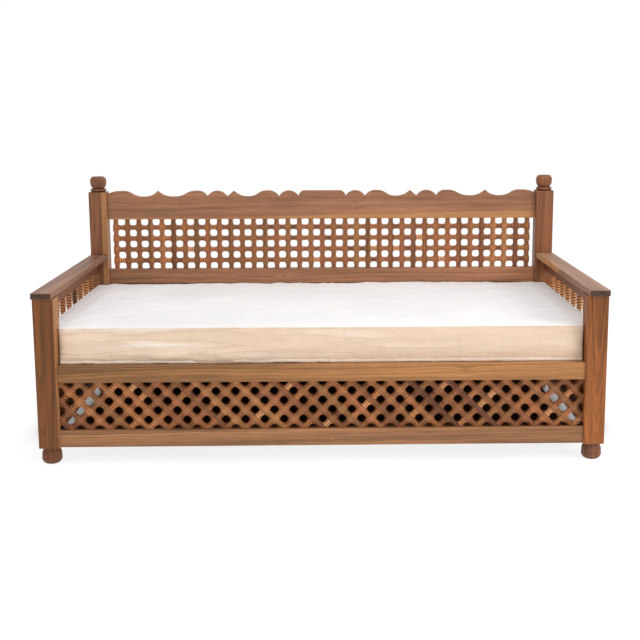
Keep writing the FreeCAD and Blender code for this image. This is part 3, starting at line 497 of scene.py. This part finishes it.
class Turnery:
    """Collects turned pieces into one mesh that carries each piece's own grain and tone."""

    def __init__(self, name):
        self.name = name
        self.points, self.faces = [], []
        self.grain, self.tone, self.blush, self.groove = [], [], [], []
        self.count = 0

    def add(self, sections, origin, axis, side, tone, blush):
        axis = Vector(axis).normalized()
        side = Vector(side).normalized()
        across = axis.cross(side)
        turn = Matrix.Rotation(math.radians(chance.uniform(-1.5, 1.5)), 3, axis)
        side, across = turn @ side, turn @ across
        origin = Vector(origin) + side * chance.uniform(-0.0003, 0.0003)
        frame_axes = np.array([tuple(axis), tuple(side), tuple(across)])
        shift = np.array([chance.uniform(0, 9), chance.uniform(0, 2), chance.uniform(0, 2)])
        first = self.count
        for along, outline, groove in sections:
            local = np.column_stack([np.full(ROUND_POINTS, along), outline])
            self.points.append(local @ frame_axes + np.array(tuple(origin)))
            self.grain.append(local + shift)
            self.tone.append(np.full(ROUND_POINTS, tone))
            self.blush.append(np.full(ROUND_POINTS, blush))
            self.groove.append(np.full(ROUND_POINTS, groove))
            self.count += ROUND_POINTS
        for row in range(len(sections) - 1):
            base = first + row * ROUND_POINTS
            for n in range(ROUND_POINTS):
                m = (n + 1) % ROUND_POINTS
                self.faces.append((base + n, base + m, base + m + ROUND_POINTS, base + n + ROUND_POINTS))
        last = first + (len(sections) - 1) * ROUND_POINTS
        self.faces.append(tuple(first + n for n in reversed(range(ROUND_POINTS))))
        self.faces.append(tuple(last + n for n in range(ROUND_POINTS)))

    def build(self, material, replaced):
        mesh = bpy.data.meshes.new(self.name)
        mesh.from_pydata(np.concatenate(self.points).tolist(), [], self.faces)
        for key, kind, store in (
            ("grain", "FLOAT_VECTOR", self.grain),
            ("tone", "FLOAT", self.tone),
            ("blush", "FLOAT", self.blush),
            ("groove", "FLOAT", self.groove),
        ):
            layer = mesh.attributes.new(key, kind, "POINT")
            field = "vector" if kind == "FLOAT_VECTOR" else "value"
            layer.data.foreach_set(field, np.concatenate(store).astype(np.float32).ravel())
        mesh.shade_smooth()
        mesh.set_sharp_from_angle(angle=math.radians(50))
        mesh.materials.append(material)
        piece = bpy.data.objects.new(self.name, mesh)
        bpy.context.collection.objects.link(piece)
        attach(piece, "frame")
        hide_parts(replaced)


# Radii as shares of a square block's side: the neck between rings, and each ring in a row.
NECK_SHARE = 0.34
BACK_RIMS = (0.515, 0.475, 0.515)
SLANT_RIMS = (0.5, 0.43, 0.5)
BACK_ROWS = 4
BACK_UPRIGHTS = 37
BACK_PITCH = 0.0495
SLANT_ROWS = 6
# The first row of slanting blocks is this far below the rail, and ends run on inside the rails.
FIRST_ROW_DROP = 0.0043
HIDDEN = 0.016
# The blocks' rounded edges, how far they stay inside the CAD ones, and how far pegs enter them.
EASED = 0.0016
CLEARANCE = 0.0002
TUCK = 0.0008


def rims_of(size, shares):
    return [size * share for share in shares]


def piece_tone(pale_share=0.05):
    """How light a lattice piece is, and whether it leans to gold or to red."""
    if chance.random() < pale_share:
        return chance.uniform(0.84, 1.0), chance.uniform(0.5, 0.7)
    return min(max(chance.gauss(0.5, 0.1), 0.28), 0.75), min(max(chance.gauss(0.5, 0.2), 0.1), 0.95)


def back_lattice(material):
    """Uprights with square blocks, and ringed pegs between the blocks."""
    low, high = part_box("back_lattice_spindles")
    block = high.y - low.y
    spacing = (high.x - low.x - block) / (BACK_UPRIGHTS - 1)
    plane = (low.y + high.y) / 2
    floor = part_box("back_lower_rail")[1].z
    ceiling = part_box("back_crest_rail")[0].z
    middle = (floor + ceiling) / 2
    heights = [middle + (row - (BACK_ROWS - 1) / 2) * BACK_PITCH for row in range(BACK_ROWS)]
    half = block / 2
    neck, rims = block * NECK_SHARE, rims_of(block, BACK_RIMS)
    bars, links = Turnery("back_lattice_uprights"), Turnery("back_lattice_rungs")
    for number in range(BACK_UPRIGHTS):
        x = low.x + half + number * spacing
        stops = [floor - 0.003]
        for height in heights:
            stops += [height - half, height + half]
        stops.append(ceiling + 0.003)
        sections = []
        for place in range(0, len(stops), 2):
            sections += ring_sections(stops[place], stops[place + 1], neck, rims)
            if place + 2 < len(stops):
                sections += block_sections(stops[place + 1], stops[place + 2], half - CLEARANCE, EASED)
        bars.add(sections, (x, plane, 0), (0, 0, 1), (1, 0, 0), *piece_tone(0.0))
        if number + 1 == BACK_UPRIGHTS:
            continue
        for height in heights:
            sections = ring_sections(half - TUCK, spacing - half + TUCK, neck, rims)
            links.add(sections, (x, plane, height), (1, 0, 0), (0, 1, 0), *piece_tone())
    lowest_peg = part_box("back_lattice_pegs")[0].z
    assert abs(lowest_peg - (heights[0] - half)) < 0.004, "the back pegs are not level with the blocks"
    bars.build(material, "back_lattice_spindles")
    links.build(material, "back_lattice_pegs")


def slanting_lattice(place, turn, cells, material):
    """The lattice of one opening below the seat: bars rise one way, and pegs cross them.

    place is front, left or right; turn is the angle from the front lattice to this one.
    """
    low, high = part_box(f"{place}_lattice_spindles")
    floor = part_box(f"{place}_bottom_rail")[1].z
    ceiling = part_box(f"{place}_seat_rail")[0].z
    spin = Matrix.Rotation(math.radians(turn), 3, "Z")
    along, across, up = spin @ Vector((1, 0, 0)), spin @ Vector((0, 1, 0)), Vector((0, 0, 1))
    if place == "front":
        start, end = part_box("front_left_post")[1].x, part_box("front_right_post")[0].x
        centre = Vector(((start + end) / 2, (low.y + high.y) / 2, floor - FIRST_ROW_DROP))
    else:
        start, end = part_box(f"front_{place}_post")[1].y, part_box(f"rear_{place}_post")[0].y
        centre = Vector(((low.x + high.x) / 2, (start + end) / 2, floor - FIRST_ROW_DROP))
    block = min(high.x - low.x, high.y - low.y)
    half = block / 2
    side = (end - start) / 2
    cell = 2 * side / cells
    reach = cell / math.sqrt(2)
    neck, rims = block * NECK_SHARE, rims_of(block, SLANT_RIMS)
    bars, links = Turnery(f"{place}_lattice_bars"), Turnery(f"{place}_lattice_rungs")
    rise = (up - along).normalized()
    lean = (up + along).normalized()
    lowest = (floor - HIDDEN - centre.z) * math.sqrt(2)
    highest = (ceiling + HIDDEN - centre.z) * math.sqrt(2)
    window = (side + HIDDEN) * math.sqrt(2)

    def clipped(sections, foot, head):
        kept = [section for section in sections if foot < section[0] < head]
        # The cut ends take a groove value of 0.5: painted shade.
        return [(foot, kept[0][1], 0.5)] + kept + [(head, kept[-1][1], 0.5)] if kept else []

    for number in range(-cells, cells + 1):
        origin = centre + along * (number * cell)
        offset = number * cell * math.sqrt(2)
        foot, head = max(lowest, offset - window), min(highest, offset + window)
        if head - foot < block:
            continue
        sections = []
        for row in range(-1, SLANT_ROWS + 1):
            middle = row * reach
            sections += block_sections(middle - half, middle + half, half - CLEARANCE, EASED)
            sections += ring_sections(middle + half, middle + reach - half, neck, rims)
        sections = clipped(sections, foot, head)
        if not sections:
            continue
        bars.add(sections, origin, rise, across, *piece_tone(0.0))
        for row in range(-1, SLANT_ROWS):
            knot = origin + rise * (row * reach)
            spot = knot + lean * (reach / 2)
            inside = abs((spot - centre).dot(along)) < side + HIDDEN
            if not inside or not floor - HIDDEN < spot.z < ceiling + HIDDEN:
                continue
            sections = ring_sections(half - TUCK, reach - half + TUCK, neck, rims)
            links.add(sections, knot, lean, across, *piece_tone(0.12))
    bars.build(material, f"{place}_lattice_spindles")
    links.build(material, f"{place}_lattice_pegs")


ARM_SPINDLES = 8
# The length of a stack of rings, and its radii as shares of the CAD spindle's widest radius.
ARM_STACK = 0.066
ARM_RIMS = (1.04, 1.04, 1.03, 1.0, 0.93, 0.84)
ARM_NECK_SHARE = 0.66
ARM_SWELL_SHARE = 0.8
SWELL_STEPS = 12


def arm_spindles(side, material, tone, blush):
    """Upright spindles with a stack of rings at each end, widest at the rails."""
    low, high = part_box(f"{side}_arm_spindles")
    floor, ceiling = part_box(f"{side}_seat_rail")[1].z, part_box(f"{side}_arm_rail")[0].z
    radius = (high.x - low.x) / 2
    neck = radius * ARM_NECK_SHARE
    rims = rims_of(radius, ARM_RIMS)
    pitch = (high.y - low.y - 2 * radius) / (ARM_SPINDLES - 1)
    spindles = Turnery(f"{side}_arm_turnings")
    for number in range(ARM_SPINDLES):
        sections = ring_sections(floor - 0.001, floor + ARM_STACK, neck, rims)
        span = ceiling - floor - 2 * ARM_STACK
        for step in range(1, SWELL_STEPS):
            share = step / SWELL_STEPS
            swell = neck + (radius * ARM_SWELL_SHARE - neck) * math.sin(math.pi * share) ** 0.9
            sections.append((floor + ARM_STACK + span * share, circle(swell), 0.0))
        sections += ring_sections(ceiling - ARM_STACK, ceiling + 0.001, neck, rims[::-1])
        spot = ((low.x + high.x) / 2, low.y + radius + number * pitch, 0)
        spindles.add(
            sections, spot, (0, 0, 1), (1, 0, 0), chance.gauss(tone, 0.07), chance.gauss(blush, 0.08)
        )
    spindles.build(material, f"{side}_arm_spindles")


lattice_wood = wood("lattice_wood", "piece", 31.7, LATTICE, pith=(0.03, 0.05), figure=0.6, lines=0.3)
back_lattice(lattice_wood)
for place, turn, cells in (("front", 0, 27), ("left", 90, 13), ("right", -90, 13)):
    slanting_lattice(place, turn, cells, lattice_wood)
arm_spindles("left", lattice_wood, 0.5, 0.7)
arm_spindles("right", lattice_wood, 0.66, 0.92)


# ------------------------------------------------------------------------ mattress
def pressed_line(g, place, start, end, width):
    """A narrow straight crease in the XY plane: 1 along its middle, 0 beyond its width."""
    x, y = g.split(place)[:2]
    length = math.dist(start, end)
    run = ((end[0] - start[0]) / length, (end[1] - start[1]) / length)
    dx, dy = g.math("SUBTRACT", x, start[0]), g.math("SUBTRACT", y, start[1])
    ahead = g.math("ADD", g.math("MULTIPLY", dx, run[0]), g.math("MULTIPLY", dy, run[1]))
    aside = g.math("SUBTRACT", g.math("MULTIPLY", dx, run[1]), g.math("MULTIPLY", dy, run[0]))
    near = g.span(g.math("ABSOLUTE", aside), 0.0, width, 1.0, 0.0)
    begins = g.span(ahead, 0.0, length * 0.3)
    stops = g.span(ahead, length * 0.7, length, 1.0, 0.0)
    return g.math("MULTIPLY", near, g.math("MULTIPLY", begins, stops))


def cloth_material(name, base, warm, stretch, crumpled, pressed=()):
    """Plain-woven cream cotton, a little uneven in colour, with creases along one way.

    stretch is how many creases there are per metre along each axis; crumpled is their
    strength at the right end and at the left; pressed are (start, end, width) folds, drawn only
    as painted shade. The creases get painted shade in their valleys and a painted highlight on
    their crests, besides their bump.
    """
    g = Graph(name)
    place = g.add("ShaderNodeTexCoord").outputs["Object"]
    clouds = g.noise(place, (3.2, 3.2, 9), detail=3)
    slubs = g.noise(place, (60, 900, 900), detail=2)
    slubs_up = g.noise(place, (900, 900, 60), detail=2)
    x, y, z = g.split(place)[:3]
    thread = 2 * math.pi / 0.0011
    weave = g.math("SINE", g.math("MULTIPLY", x, thread))
    for axis in (y, z):
        weave = g.math("ADD", weave, g.math("SINE", g.math("MULTIPLY", axis, thread)))
    colour = g.ramp(clouds, [(0.3, paint(*warm)), (0.68, paint(*base))])
    threads = g.math("ADD", g.math("MULTIPLY", slubs, 0.5), g.math("MULTIPLY", slubs_up, 0.5))
    fade = g.span(threads, 0.3, 0.7, 0.955, 1.02)

    much = g.span(x, -0.8, 0.75, crumpled[1], crumpled[0])
    sway = g.math("MULTIPLY", g.noise(place, (5, 9, 12), detail=2), 0.03)
    swayed = g.vector("ADD", place, g.join(0.0, sway, sway))
    folds = g.noise(swayed, stretch, detail=2, roughness=0.5, distortion=0.15)
    valley = g.span(g.math("ABSOLUTE", g.math("SUBTRACT", folds, 0.5)), 0.0, 0.05, 1.0, 0.0)
    crest = g.span(folds, 0.56, 0.72)
    # Painted shade in the crease valleys.
    fade = g.math("SUBTRACT", fade, g.math("MULTIPLY", g.math("MULTIPLY", valley, much), 0.055))
    line = None
    for start, end, width in pressed:
        here = pressed_line(g, place, start, end, width)
        line = here if line is None else g.math("MAXIMUM", line, here)
    # Pressed folds darkened: painted shade.
    if line is not None:
        fade = g.math("SUBTRACT", fade, g.math("MULTIPLY", line, 0.1))
    # Painted highlight on the crease crests.
    painted_crest_highlight = g.math("MULTIPLY", g.math("MULTIPLY", crest, much), 0.7)
    colour = g.mix(painted_crest_highlight, colour, paint(244, 233, 222))
    colour = g.mix(1.0, colour, g.join(fade, fade, fade), "MULTIPLY")
    height = g.math("MULTIPLY", g.math("SUBTRACT", g.math("MULTIPLY", folds, 2.4), valley), much)
    crumple = g.noise(place, (9, 22, 26), detail=4, roughness=0.55, distortion=0.6)
    normal = g.bump(weave, 0.12, 0.00025)
    normal = g.bump(threads, 0.2, 0.0004, normal)
    normal = g.bump(crumple, 0.35, 0.004, normal)
    normal = g.bump(height, 0.45, 0.0035, normal)
    return g.finish(
        colour, g.span(clouds, 0.2, 0.8, 0.82, 0.92), normal, Sheen_Weight=0.25, Sheen_Roughness=0.5,
        Specular_IOR_Level=0.2,
    )


def stops_between(places, step):
    """Grid lines through every given place, with even steps of about the given size between."""
    lines = [places[0]]
    for start, end in zip(places, places[1:]):
        count = max(1, round((end - start) / step))
        lines += [start + (end - start) * n / count for n in range(1, count + 1)]
    return lines


POST_GAP = 0.003


class Block:
    """The mattress as a closed grid of quads, notched at the four posts.

    short is the half length of its front and rear edges, between the posts; first and
    second are where its sides start and end, behind the front posts and before the rear
    ones.
    """

    def __init__(self, step):
        low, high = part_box("mattress")
        self.low, self.high = low, high
        self.short = -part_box("front_left_post")[1].x - POST_GAP
        self.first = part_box("front_left_post")[1].y + POST_GAP
        self.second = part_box("rear_left_post")[0].y - POST_GAP
        self.xs = stops_between([low.x, -self.short, self.short, high.x], step)
        self.ys = stops_between([low.y, self.first, self.second, high.y], step)
        self.zs = stops_between([low.z, high.z], step)
        self.points, self.faces, self.index = [], [], {}
        self.outline = []
        self.fill()

    def inside(self, i, j):
        if not (0 <= i < len(self.xs) - 1 and 0 <= j < len(self.ys) - 1):
            return False
        x = (self.xs[i] + self.xs[i + 1]) / 2
        y = (self.ys[j] + self.ys[j + 1]) / 2
        return abs(x) < self.short or self.first < y < self.second

    def corner(self, i, j, k):
        key = (i, j, k)
        if key not in self.index:
            self.index[key] = len(self.points)
            self.points.append((self.xs[i], self.ys[j], self.zs[k]))
        return self.index[key]

    def fill(self):
        top = len(self.zs) - 1
        for i in range(len(self.xs) - 1):
            for j in range(len(self.ys) - 1):
                if not self.inside(i, j):
                    continue
                square_corners = ((i, j), (i + 1, j), (i + 1, j + 1), (i, j + 1))
                self.faces.append([self.corner(*c, top) for c in square_corners])
                self.faces.append([self.corner(*c, 0) for c in reversed(square_corners)])
                for (di, dj), (a, b) in (
                    ((0, -1), (0, 1)), ((1, 0), (1, 2)), ((0, 1), (2, 3)), ((-1, 0), (3, 0)),
                ):
                    if self.inside(i + di, j + dj):
                        continue
                    start, end = square_corners[a], square_corners[b]
                    self.outline.append((start, end))
                    for k in range(top):
                        self.faces.append([
                            self.corner(*start, k), self.corner(*end, k),
                            self.corner(*end, k + 1), self.corner(*start, k + 1),
                        ])

    def rim(self, level):
        """The grid corners round one level, in order."""
        after = dict(self.outline)
        first = here = self.outline[0][0]
        ring = []
        while not ring or here != first:
            ring.append(self.corner(*here, level))
            here = after[here]
        return ring


def points_of(mesh):
    flat = np.zeros(len(mesh.vertices) * 3, np.float32)
    mesh.vertices.foreach_get("co", flat)
    return flat.reshape(-1, 3).astype(float)


def set_points(mesh, points):
    mesh.vertices.foreach_set("co", points.astype(np.float32).ravel())
    mesh.update()


def ease(value, low, high):
    """0 below low, 1 above high, smooth between; low may be above high."""
    share = np.clip((value - low) / (high - low), 0, 1)
    return share * share * (3 - 2 * share)


def ripples(points, scales, shift=0.0):
    """Smooth noise from about -1 to 1 at each point."""
    return np.array([
        noise.noise(Vector((x * scales[0] + shift, y * scales[1] - shift, z * scales[2] + 2 * shift)))
        for x, y, z in points
    ])


STEP = 0.0125
CLOTH_FRAMES = 20
# How far a point may swell: anywhere, at the rear face, and along the daybed.
CAP = 0.008
REAR_CAP = 0.005
SIDE_CAP = 0.0005
# How far the cover may stand above its CAD solid under the arm caps, which a lift brings near.
CLEAR_RISE = 0.004
WELT_RADIUS = 0.0017
# Pressed folds on the top, drawn only as painted shade lines.
TOP_FOLD_SHADE_LINES = (((0.32, 0.36), (0.5, -0.16), 0.004), ((0.23, 0.18), (0.32, 0.15), 0.006))


def puff(piece, pinned):
    """Lets the cover swell like a filled bag, its seams held in place."""
    group = piece.vertex_groups.new(name="seams")
    group.add(pinned, 1.0, "REPLACE")
    start = points_of(piece.data)
    cloth = piece.modifiers.new("cloth", "CLOTH")
    rules = cloth.settings
    rules.quality = 5
    rules.mass = 0.4
    rules.tension_stiffness = 12
    rules.compression_stiffness = 12
    rules.shear_stiffness = 4
    rules.bending_stiffness = 0.5
    rules.use_pressure = True
    rules.uniform_pressure_force = 4
    rules.shrink_min = -0.01
    rules.vertex_group_mass = "seams"
    rules.effector_weights.gravity = 0
    cloth.collision_settings.use_collision = False
    cloth.collision_settings.use_self_collision = False
    for step in range(1, CLOTH_FRAMES + 1):
        bpy.context.scene.frame_set(step)
    graph = bpy.context.evaluated_depsgraph_get()
    swollen = piece.evaluated_get(graph)
    moved = points_of(swollen.to_mesh()) - start
    swollen.to_mesh_clear()
    piece.modifiers.clear()
    bpy.context.scene.frame_set(1)
    length = np.linalg.norm(moved, axis=1, keepdims=True)
    return moved * CAP * np.tanh(length / CAP) / np.maximum(length, 1e-9)


def settle(points, block):
    """How the loose cover lies: side edges a little raised, folds, a slack lower edge."""
    low, high = block.low, block.high
    x, y, z = points.T
    tall = high.z - low.z
    up = (z - low.z) / tall
    shift = np.zeros_like(points)
    top = ease(up, 0.6, 1.0)
    shift[:, 1] -= 0.0055 * ease(y, high.y - 0.05, high.y - 0.01)
    between_arms = ease(y, block.first - 0.02, block.first + 0.16)
    side = ease(np.abs(x), high.x - 0.13, high.x - 0.005)
    shift[:, 2] += top * side * between_arms * (0.0035 + 0.0015 * ripples(points, (0, 11, 0), 2.9))
    rear = ease(y, high.y - 0.035, high.y) * ease(np.abs(x), block.short + 0.01, block.short - 0.03)
    shift[:, 2] += top * rear * (0.0015 + 0.004 * ripples(points, (13, 0, 0), 4.0))
    flat_top = ease(up, 0.97, 1.0)
    edge_free = 1 - 0.6 * ease(y, low.y + 0.03, low.y)
    long_waves = ripples(points, (2.6, 6.5, 0), 1.3)
    creases = 1 - np.abs(ripples(points + long_waves[:, None] * 0.05, (4.5, 9, 0), 7.7))
    shift[:, 2] += flat_top * edge_free * (0.0022 * long_waves + 0.0035 * ease(creases, 0.86, 1.0))

    front = ease(y, low.y + 0.012, low.y)
    slack = ease(x, 0.25, -0.5)
    belly = np.exp(-(((up - 0.2) / 0.14) ** 2))
    lumps = 0.7 + 1.1 * ripples(points, (6, 0, 5), 3.1)
    bent = points.copy()
    bent[:, 2] += 0.012 * ripples(points, (4, 0, 3), 6.6)
    folds = 1 - np.abs(ripples(bent, (2.6, 0, 21), 9.2))
    gathers = ripples(points, (55, 0, 6), 5.5) * ease(np.abs(x - 0.02), 0.2, 0.03)
    ends = ripples(points, (10, 0, 60), 2.2) * ease(np.abs(x), block.short - 0.1, block.short)
    outward = 0.008 * slack * belly * np.clip(lumps, 0, 2)
    outward += 0.006 * (0.3 + 0.7 * slack) * ease(folds, 0.82, 1.0)
    outward += 0.0026 * gathers * ease(up, 0.4, 0.85) + 0.004 * ends
    outward += 0.002 * ripples(points, (11, 0, 15), 8.8)
    held = ease(up, 1.0, 0.93)
    shift[:, 1] -= front * held * np.minimum(outward, 0.016)
    ahead = ease(y, block.first, block.first - 0.01)
    arms = ease(np.abs(x), high.x - 0.012, high.x) * held
    shift[:, 0] -= np.sign(x) * arms * 0.0012 * (1 + ripples(points, (0, 14, 18), 6.1))
    shift[:, 0] += np.sign(x) * ahead * ease(np.abs(x), block.short - 0.02, block.short) * 0.0015
    return shift


def closed_tube(name, path, radius, sides=8):
    """A tube round a closed path."""
    path = np.asarray(path)
    ahead = np.roll(path, -1, axis=0) - np.roll(path, 1, axis=0)
    ahead /= np.linalg.norm(ahead, axis=1, keepdims=True)
    across = np.cross(ahead, (0, 0, 1))
    across /= np.linalg.norm(across, axis=1, keepdims=True)
    lift = np.cross(across, ahead)
    points, faces = [], []
    for n in range(sides):
        angle = 2 * math.pi * n / sides
        points.append(path + radius * (across * math.cos(angle) + lift * math.sin(angle)))
    points = np.stack(points, 1).reshape(-1, 3)
    count = len(path)
    for n in range(count):
        m = (n + 1) % count
        for side in range(sides):
            other = (side + 1) % sides
            faces.append((n * sides + side, m * sides + side, m * sides + other, n * sides + other))
    mesh = bpy.data.meshes.new(name)
    mesh.from_pydata(points.tolist(), [], faces)
    mesh.shade_smooth()
    tube = bpy.data.objects.new(name, mesh)
    bpy.context.collection.objects.link(tube)
    return tube


def front_hem(block, cotton):
    """The cover's slack hem, folded out along the foot of the front face."""
    low = block.low
    count = 420
    xs = np.linspace(-block.short + 0.001, block.short - 0.001, count)
    spots = np.column_stack([xs, np.zeros(count), np.zeros(count)])
    wave = ripples(spots, (16, 0, 0), 3.7)
    flutter = ripples(spots, (55, 0, 0), 8.3)
    slack = 0.3 + 0.7 * ease(xs, 0.3, -0.35)
    foot = low.z + 0.0005 + slack * np.clip(0.0045 * wave + 0.002 * flutter, 0, 0.006)
    head = low.z + 0.0115 + slack * (0.004 * wave + 0.0012 * flutter)
    out = low.y - 0.0035 - slack * (0.0035 + 0.0025 * wave + 0.0012 * flutter)
    thick = 0.0014
    rows = (
        (out + thick, foot + 0.0004), (out, foot), (out - thick * 0.4, foot + 0.0016),
        (out - thick * 0.2, (foot + head) / 2), (out + 0.0012, head), (out + 0.0035, head + 0.0006),
        (out + thick + 0.001, (foot + head) / 2),
    )
    points = [np.column_stack([xs, y, z]) for y, z in rows]
    points = np.stack(points, 1).reshape(-1, 3)
    around = len(rows)
    faces = []
    for n in range(count - 1):
        for side in range(around):
            other = (side + 1) % around
            a, b = n * around, (n + 1) * around
            faces.append((a + side, b + side, b + other, a + other))
    faces.append(tuple(range(around)))
    faces.append(tuple((count - 1) * around + n for n in reversed(range(around))))
    mesh = bpy.data.meshes.new("mattress_hem")
    mesh.from_pydata(points.tolist(), [], faces)
    mesh.shade_smooth()
    mesh.materials.append(cotton)
    hem = bpy.data.objects.new("mattress_hem", mesh)
    bpy.context.collection.objects.link(hem)
    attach(hem, "mattress")


def mattress():
    """The cover, swollen and settled; the welt round its top edge; the hem at its foot."""
    block = Block(STEP)
    mesh = bpy.data.meshes.new("mattress_cover")
    mesh.from_pydata(block.points, [], block.faces)
    piece = bpy.data.objects.new("mattress_cover", mesh)
    bpy.context.collection.objects.link(piece)
    top = len(block.zs) - 1
    upper, lower = block.rim(top), block.rim(0)
    middle = Vector((0, 0, (block.low.z + block.high.z) / 2))
    start = points_of(mesh)
    swell = np.zeros_like(start)
    swell = puff(piece, upper + lower)
    under = start[:, 2] < block.low.z + 0.002
    swell[under] = 0
    swell[:, 0] = np.clip(swell[:, 0], -SIDE_CAP, SIDE_CAP)
    rear = start[:, 1] > block.high.y - 0.001
    swell[rear, 1] = np.minimum(swell[rear, 1], REAR_CAP)
    points = start + swell + settle(start, block)
    under_caps = block.high.z + CLEAR_RISE + 0.02 * ease(np.abs(start[:, 0]), 0.95, 0.88)
    points[:, 2] = np.clip(points[:, 2], block.low.z, under_caps)
    set_points(mesh, points)

    seams = set(zip(upper, upper[1:] + upper[:1])) | set(zip(lower, lower[1:] + lower[:1]))
    seams |= {(b, a) for a, b in seams}
    crease = mesh.attributes.new("crease_edge", "FLOAT", "EDGE")
    for edge in mesh.edges:
        if tuple(edge.vertices) in seams:
            crease.data[edge.index].value = 0.85
    smooth = piece.modifiers.new("smooth", "SUBSURF")
    smooth.levels = 1
    smooth.render_levels = 1
    bpy.context.view_layer.update()
    graph = bpy.context.evaluated_depsgraph_get()
    made = bpy.data.meshes.new_from_object(piece.evaluated_get(graph))
    piece.modifiers.clear()
    piece.vertex_groups.clear()
    piece.data = made
    bpy.data.meshes.remove(mesh)
    made.name = "mattress_cover"
    made.shade_smooth()
    made.set_sharp_from_angle(angle=math.radians(55))
    # The top and the sides are painted as lit and shaded copies of one cotton: whiter on top, warmer and
    # darker on the sides. The welt is painted paler as a highlight along the top edge.
    lit_top_cotton = cloth_material(
        "mattress_top_cotton", (237, 236, 236), (230, 228, 229), (2.5, 7, 0), (0.14, 0.3), TOP_FOLD_SHADE_LINES
    )
    shaded_side_cotton = cloth_material(
        "mattress_side_cotton", (236, 211, 187), (228, 201, 177), (2.4, 2.4, 26), (0.35, 1.0)
    )
    welt_cotton = cloth_material(
        "mattress_welt_cotton", (244, 234, 222), (238, 226, 212), (30, 30, 30), (0.3, 0.3)
    )
    hem_cotton = cloth_material(
        "mattress_hem_cotton", (240, 224, 206), (226, 204, 182), (28, 28, 28), (0.5, 1.0)
    )
    made.materials.clear()
    made.materials.append(lit_top_cotton)
    made.materials.append(shaded_side_cotton)
    # Upward faces take the lit top copy, all others the shaded side copy.
    for face in made.polygons:
        upward = face.normal.z > 0.7 and face.center.z > middle.z
        face.material_index = 0 if upward else 1
    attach(piece, "mattress")
    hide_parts("mattress")

    rim = points[upper]
    rim = (rim + np.roll(rim, 1, axis=0) + np.roll(rim, -1, axis=0)) / 3
    rim[:, 0] = np.clip(rim[:, 0], block.low.x + 0.0013, block.high.x - 0.0013)
    welt = closed_tube("mattress_welt", rim + np.array([0, 0, -0.0004]), WELT_RADIUS)
    welt.data.materials.append(welt_cotton)
    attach(welt, "mattress")
    front_hem(block, hem_cotton)


mattress()

# ------------------------------------------------------------------ camera and light
PITCH, ROLL, YAW = -9.56, 0.14, -1.21
scene = bpy.context.scene
camera_data = bpy.data.cameras.new("camera")
camera = bpy.data.objects.new("camera", camera_data)
scene.collection.objects.link(camera)
scene.camera = camera
camera_data.sensor_width = 36.0
camera_data.lens = 61.875
camera_data.shift_x = -0.0433
camera_data.shift_y = -0.0464
camera.location = (0.0117, -4.405, 1.29)
camera.rotation_euler = Euler([math.radians(angle) for angle in (90 + PITCH, ROLL, YAW)], "XYZ")


def stage_material():
    """Pale paper with a soft glow, dimmed over the daybed's footprint as a painted shadow."""
    g = Graph("studio_paper")
    place = g.add("ShaderNodeTexCoord").outputs["Object"]
    clouds = g.noise(place, (0.7, 0.7, 0.7), detail=2)
    tooth = g.noise(place, (120, 120, 120), detail=2)
    colour = g.ramp(clouds, [(0.3, paint(136, 136, 136)), (0.7, paint(140, 140, 140))])
    x, y = g.split(place)[:2]
    # Painted shadow: the glow is turned down over the daybed's footprint.
    wide = g.span(g.math("ABSOLUTE", x), 1.0, 1.22, 1.0, 0.0)
    deep = g.math("MULTIPLY", g.span(y, -0.35, -0.02), g.span(y, 0.5, 0.8, 1.0, 0.0))
    glow = g.math("SUBTRACT", 0.84, g.math("MULTIPLY", g.math("MULTIPLY", wide, deep), 0.72))
    rough = g.span(clouds, 0, 1, 0.85, 0.95)
    normal = g.bump(tooth, 0.1, 0.0005)
    paper = g.finish(colour, rough, normal, Emission_Color=(1, 1, 1, 1), Specular_IOR_Level=0.1)
    g.feed(g.tree.nodes["Principled BSDF"].inputs["Emission Strength"], glow)
    return paper


def backdrop():
    """A paper sweep: floor, a large curve and a wall behind the daybed."""
    half_width, front, bend_start, bend, top = 14.0, -9.0, 6.0, 4.0, 14.0
    profile = [(front, 0.0), (bend_start, 0.0)]
    steps = 24
    for step in range(1, steps + 1):
        angle = math.radians(90 * step / steps)
        profile.append((bend_start + bend * math.sin(angle), bend - bend * math.cos(angle)))
    profile.append((bend_start + bend, top))
    points, faces = [], []
    for y, z in profile:
        points += [(-half_width, y, z), (half_width, y, z)]
    for row in range(len(profile) - 1):
        faces.append((2 * row, 2 * row + 1, 2 * row + 3, 2 * row + 2))
    mesh = bpy.data.meshes.new("backdrop")
    mesh.from_pydata(points, [], faces)
    mesh.shade_smooth()
    mesh.materials.append(stage_material())
    paper = bpy.data.objects.new("backdrop", mesh)
    scene.collection.objects.link(paper)


backdrop()


def softbox(name, place, target, size, power):
    """A square area light at place, aimed at target."""
    data = bpy.data.lights.new(name, "AREA")
    data.shape = "SQUARE"
    data.size = size
    data.energy = power
    light = bpy.data.objects.new(name, data)
    light.location = place
    aim = Vector(target) - Vector(place)
    light.rotation_euler = aim.to_track_quat("-Z", "Y").to_euler()
    scene.collection.objects.link(light)


softbox("overhead", (0.4, -0.6, 4.6), (0, 0.1, 0.5), 4.0, 120)
softbox("key", (5.0, -4.0, 3.3), (0, -0.3, 0.4), 2.4, 150)
softbox("fill", (-2.6, -5.4, 2.2), (0, -0.3, 0.4), 3.0, 34)



def studio_world():
    """White surroundings, at less than half strength as light."""
    world = bpy.data.worlds.new("studio")
    scene.world = world
    world.use_nodes = True
    nodes, links = world.node_tree.nodes, world.node_tree.links
    background = nodes["Background"].inputs
    background["Color"].default_value = (1.0, 0.99, 0.98, 1)
    seen = nodes.new("ShaderNodeLightPath").outputs["Is Camera Ray"]
    strength = nodes.new("ShaderNodeMapRange")
    strength.inputs["To Min"].default_value = 0.45
    links.new(seen, strength.inputs["Value"])
    links.new(strength.outputs[0], background["Strength"])


studio_world()
scene.view_settings.view_transform = "Standard"
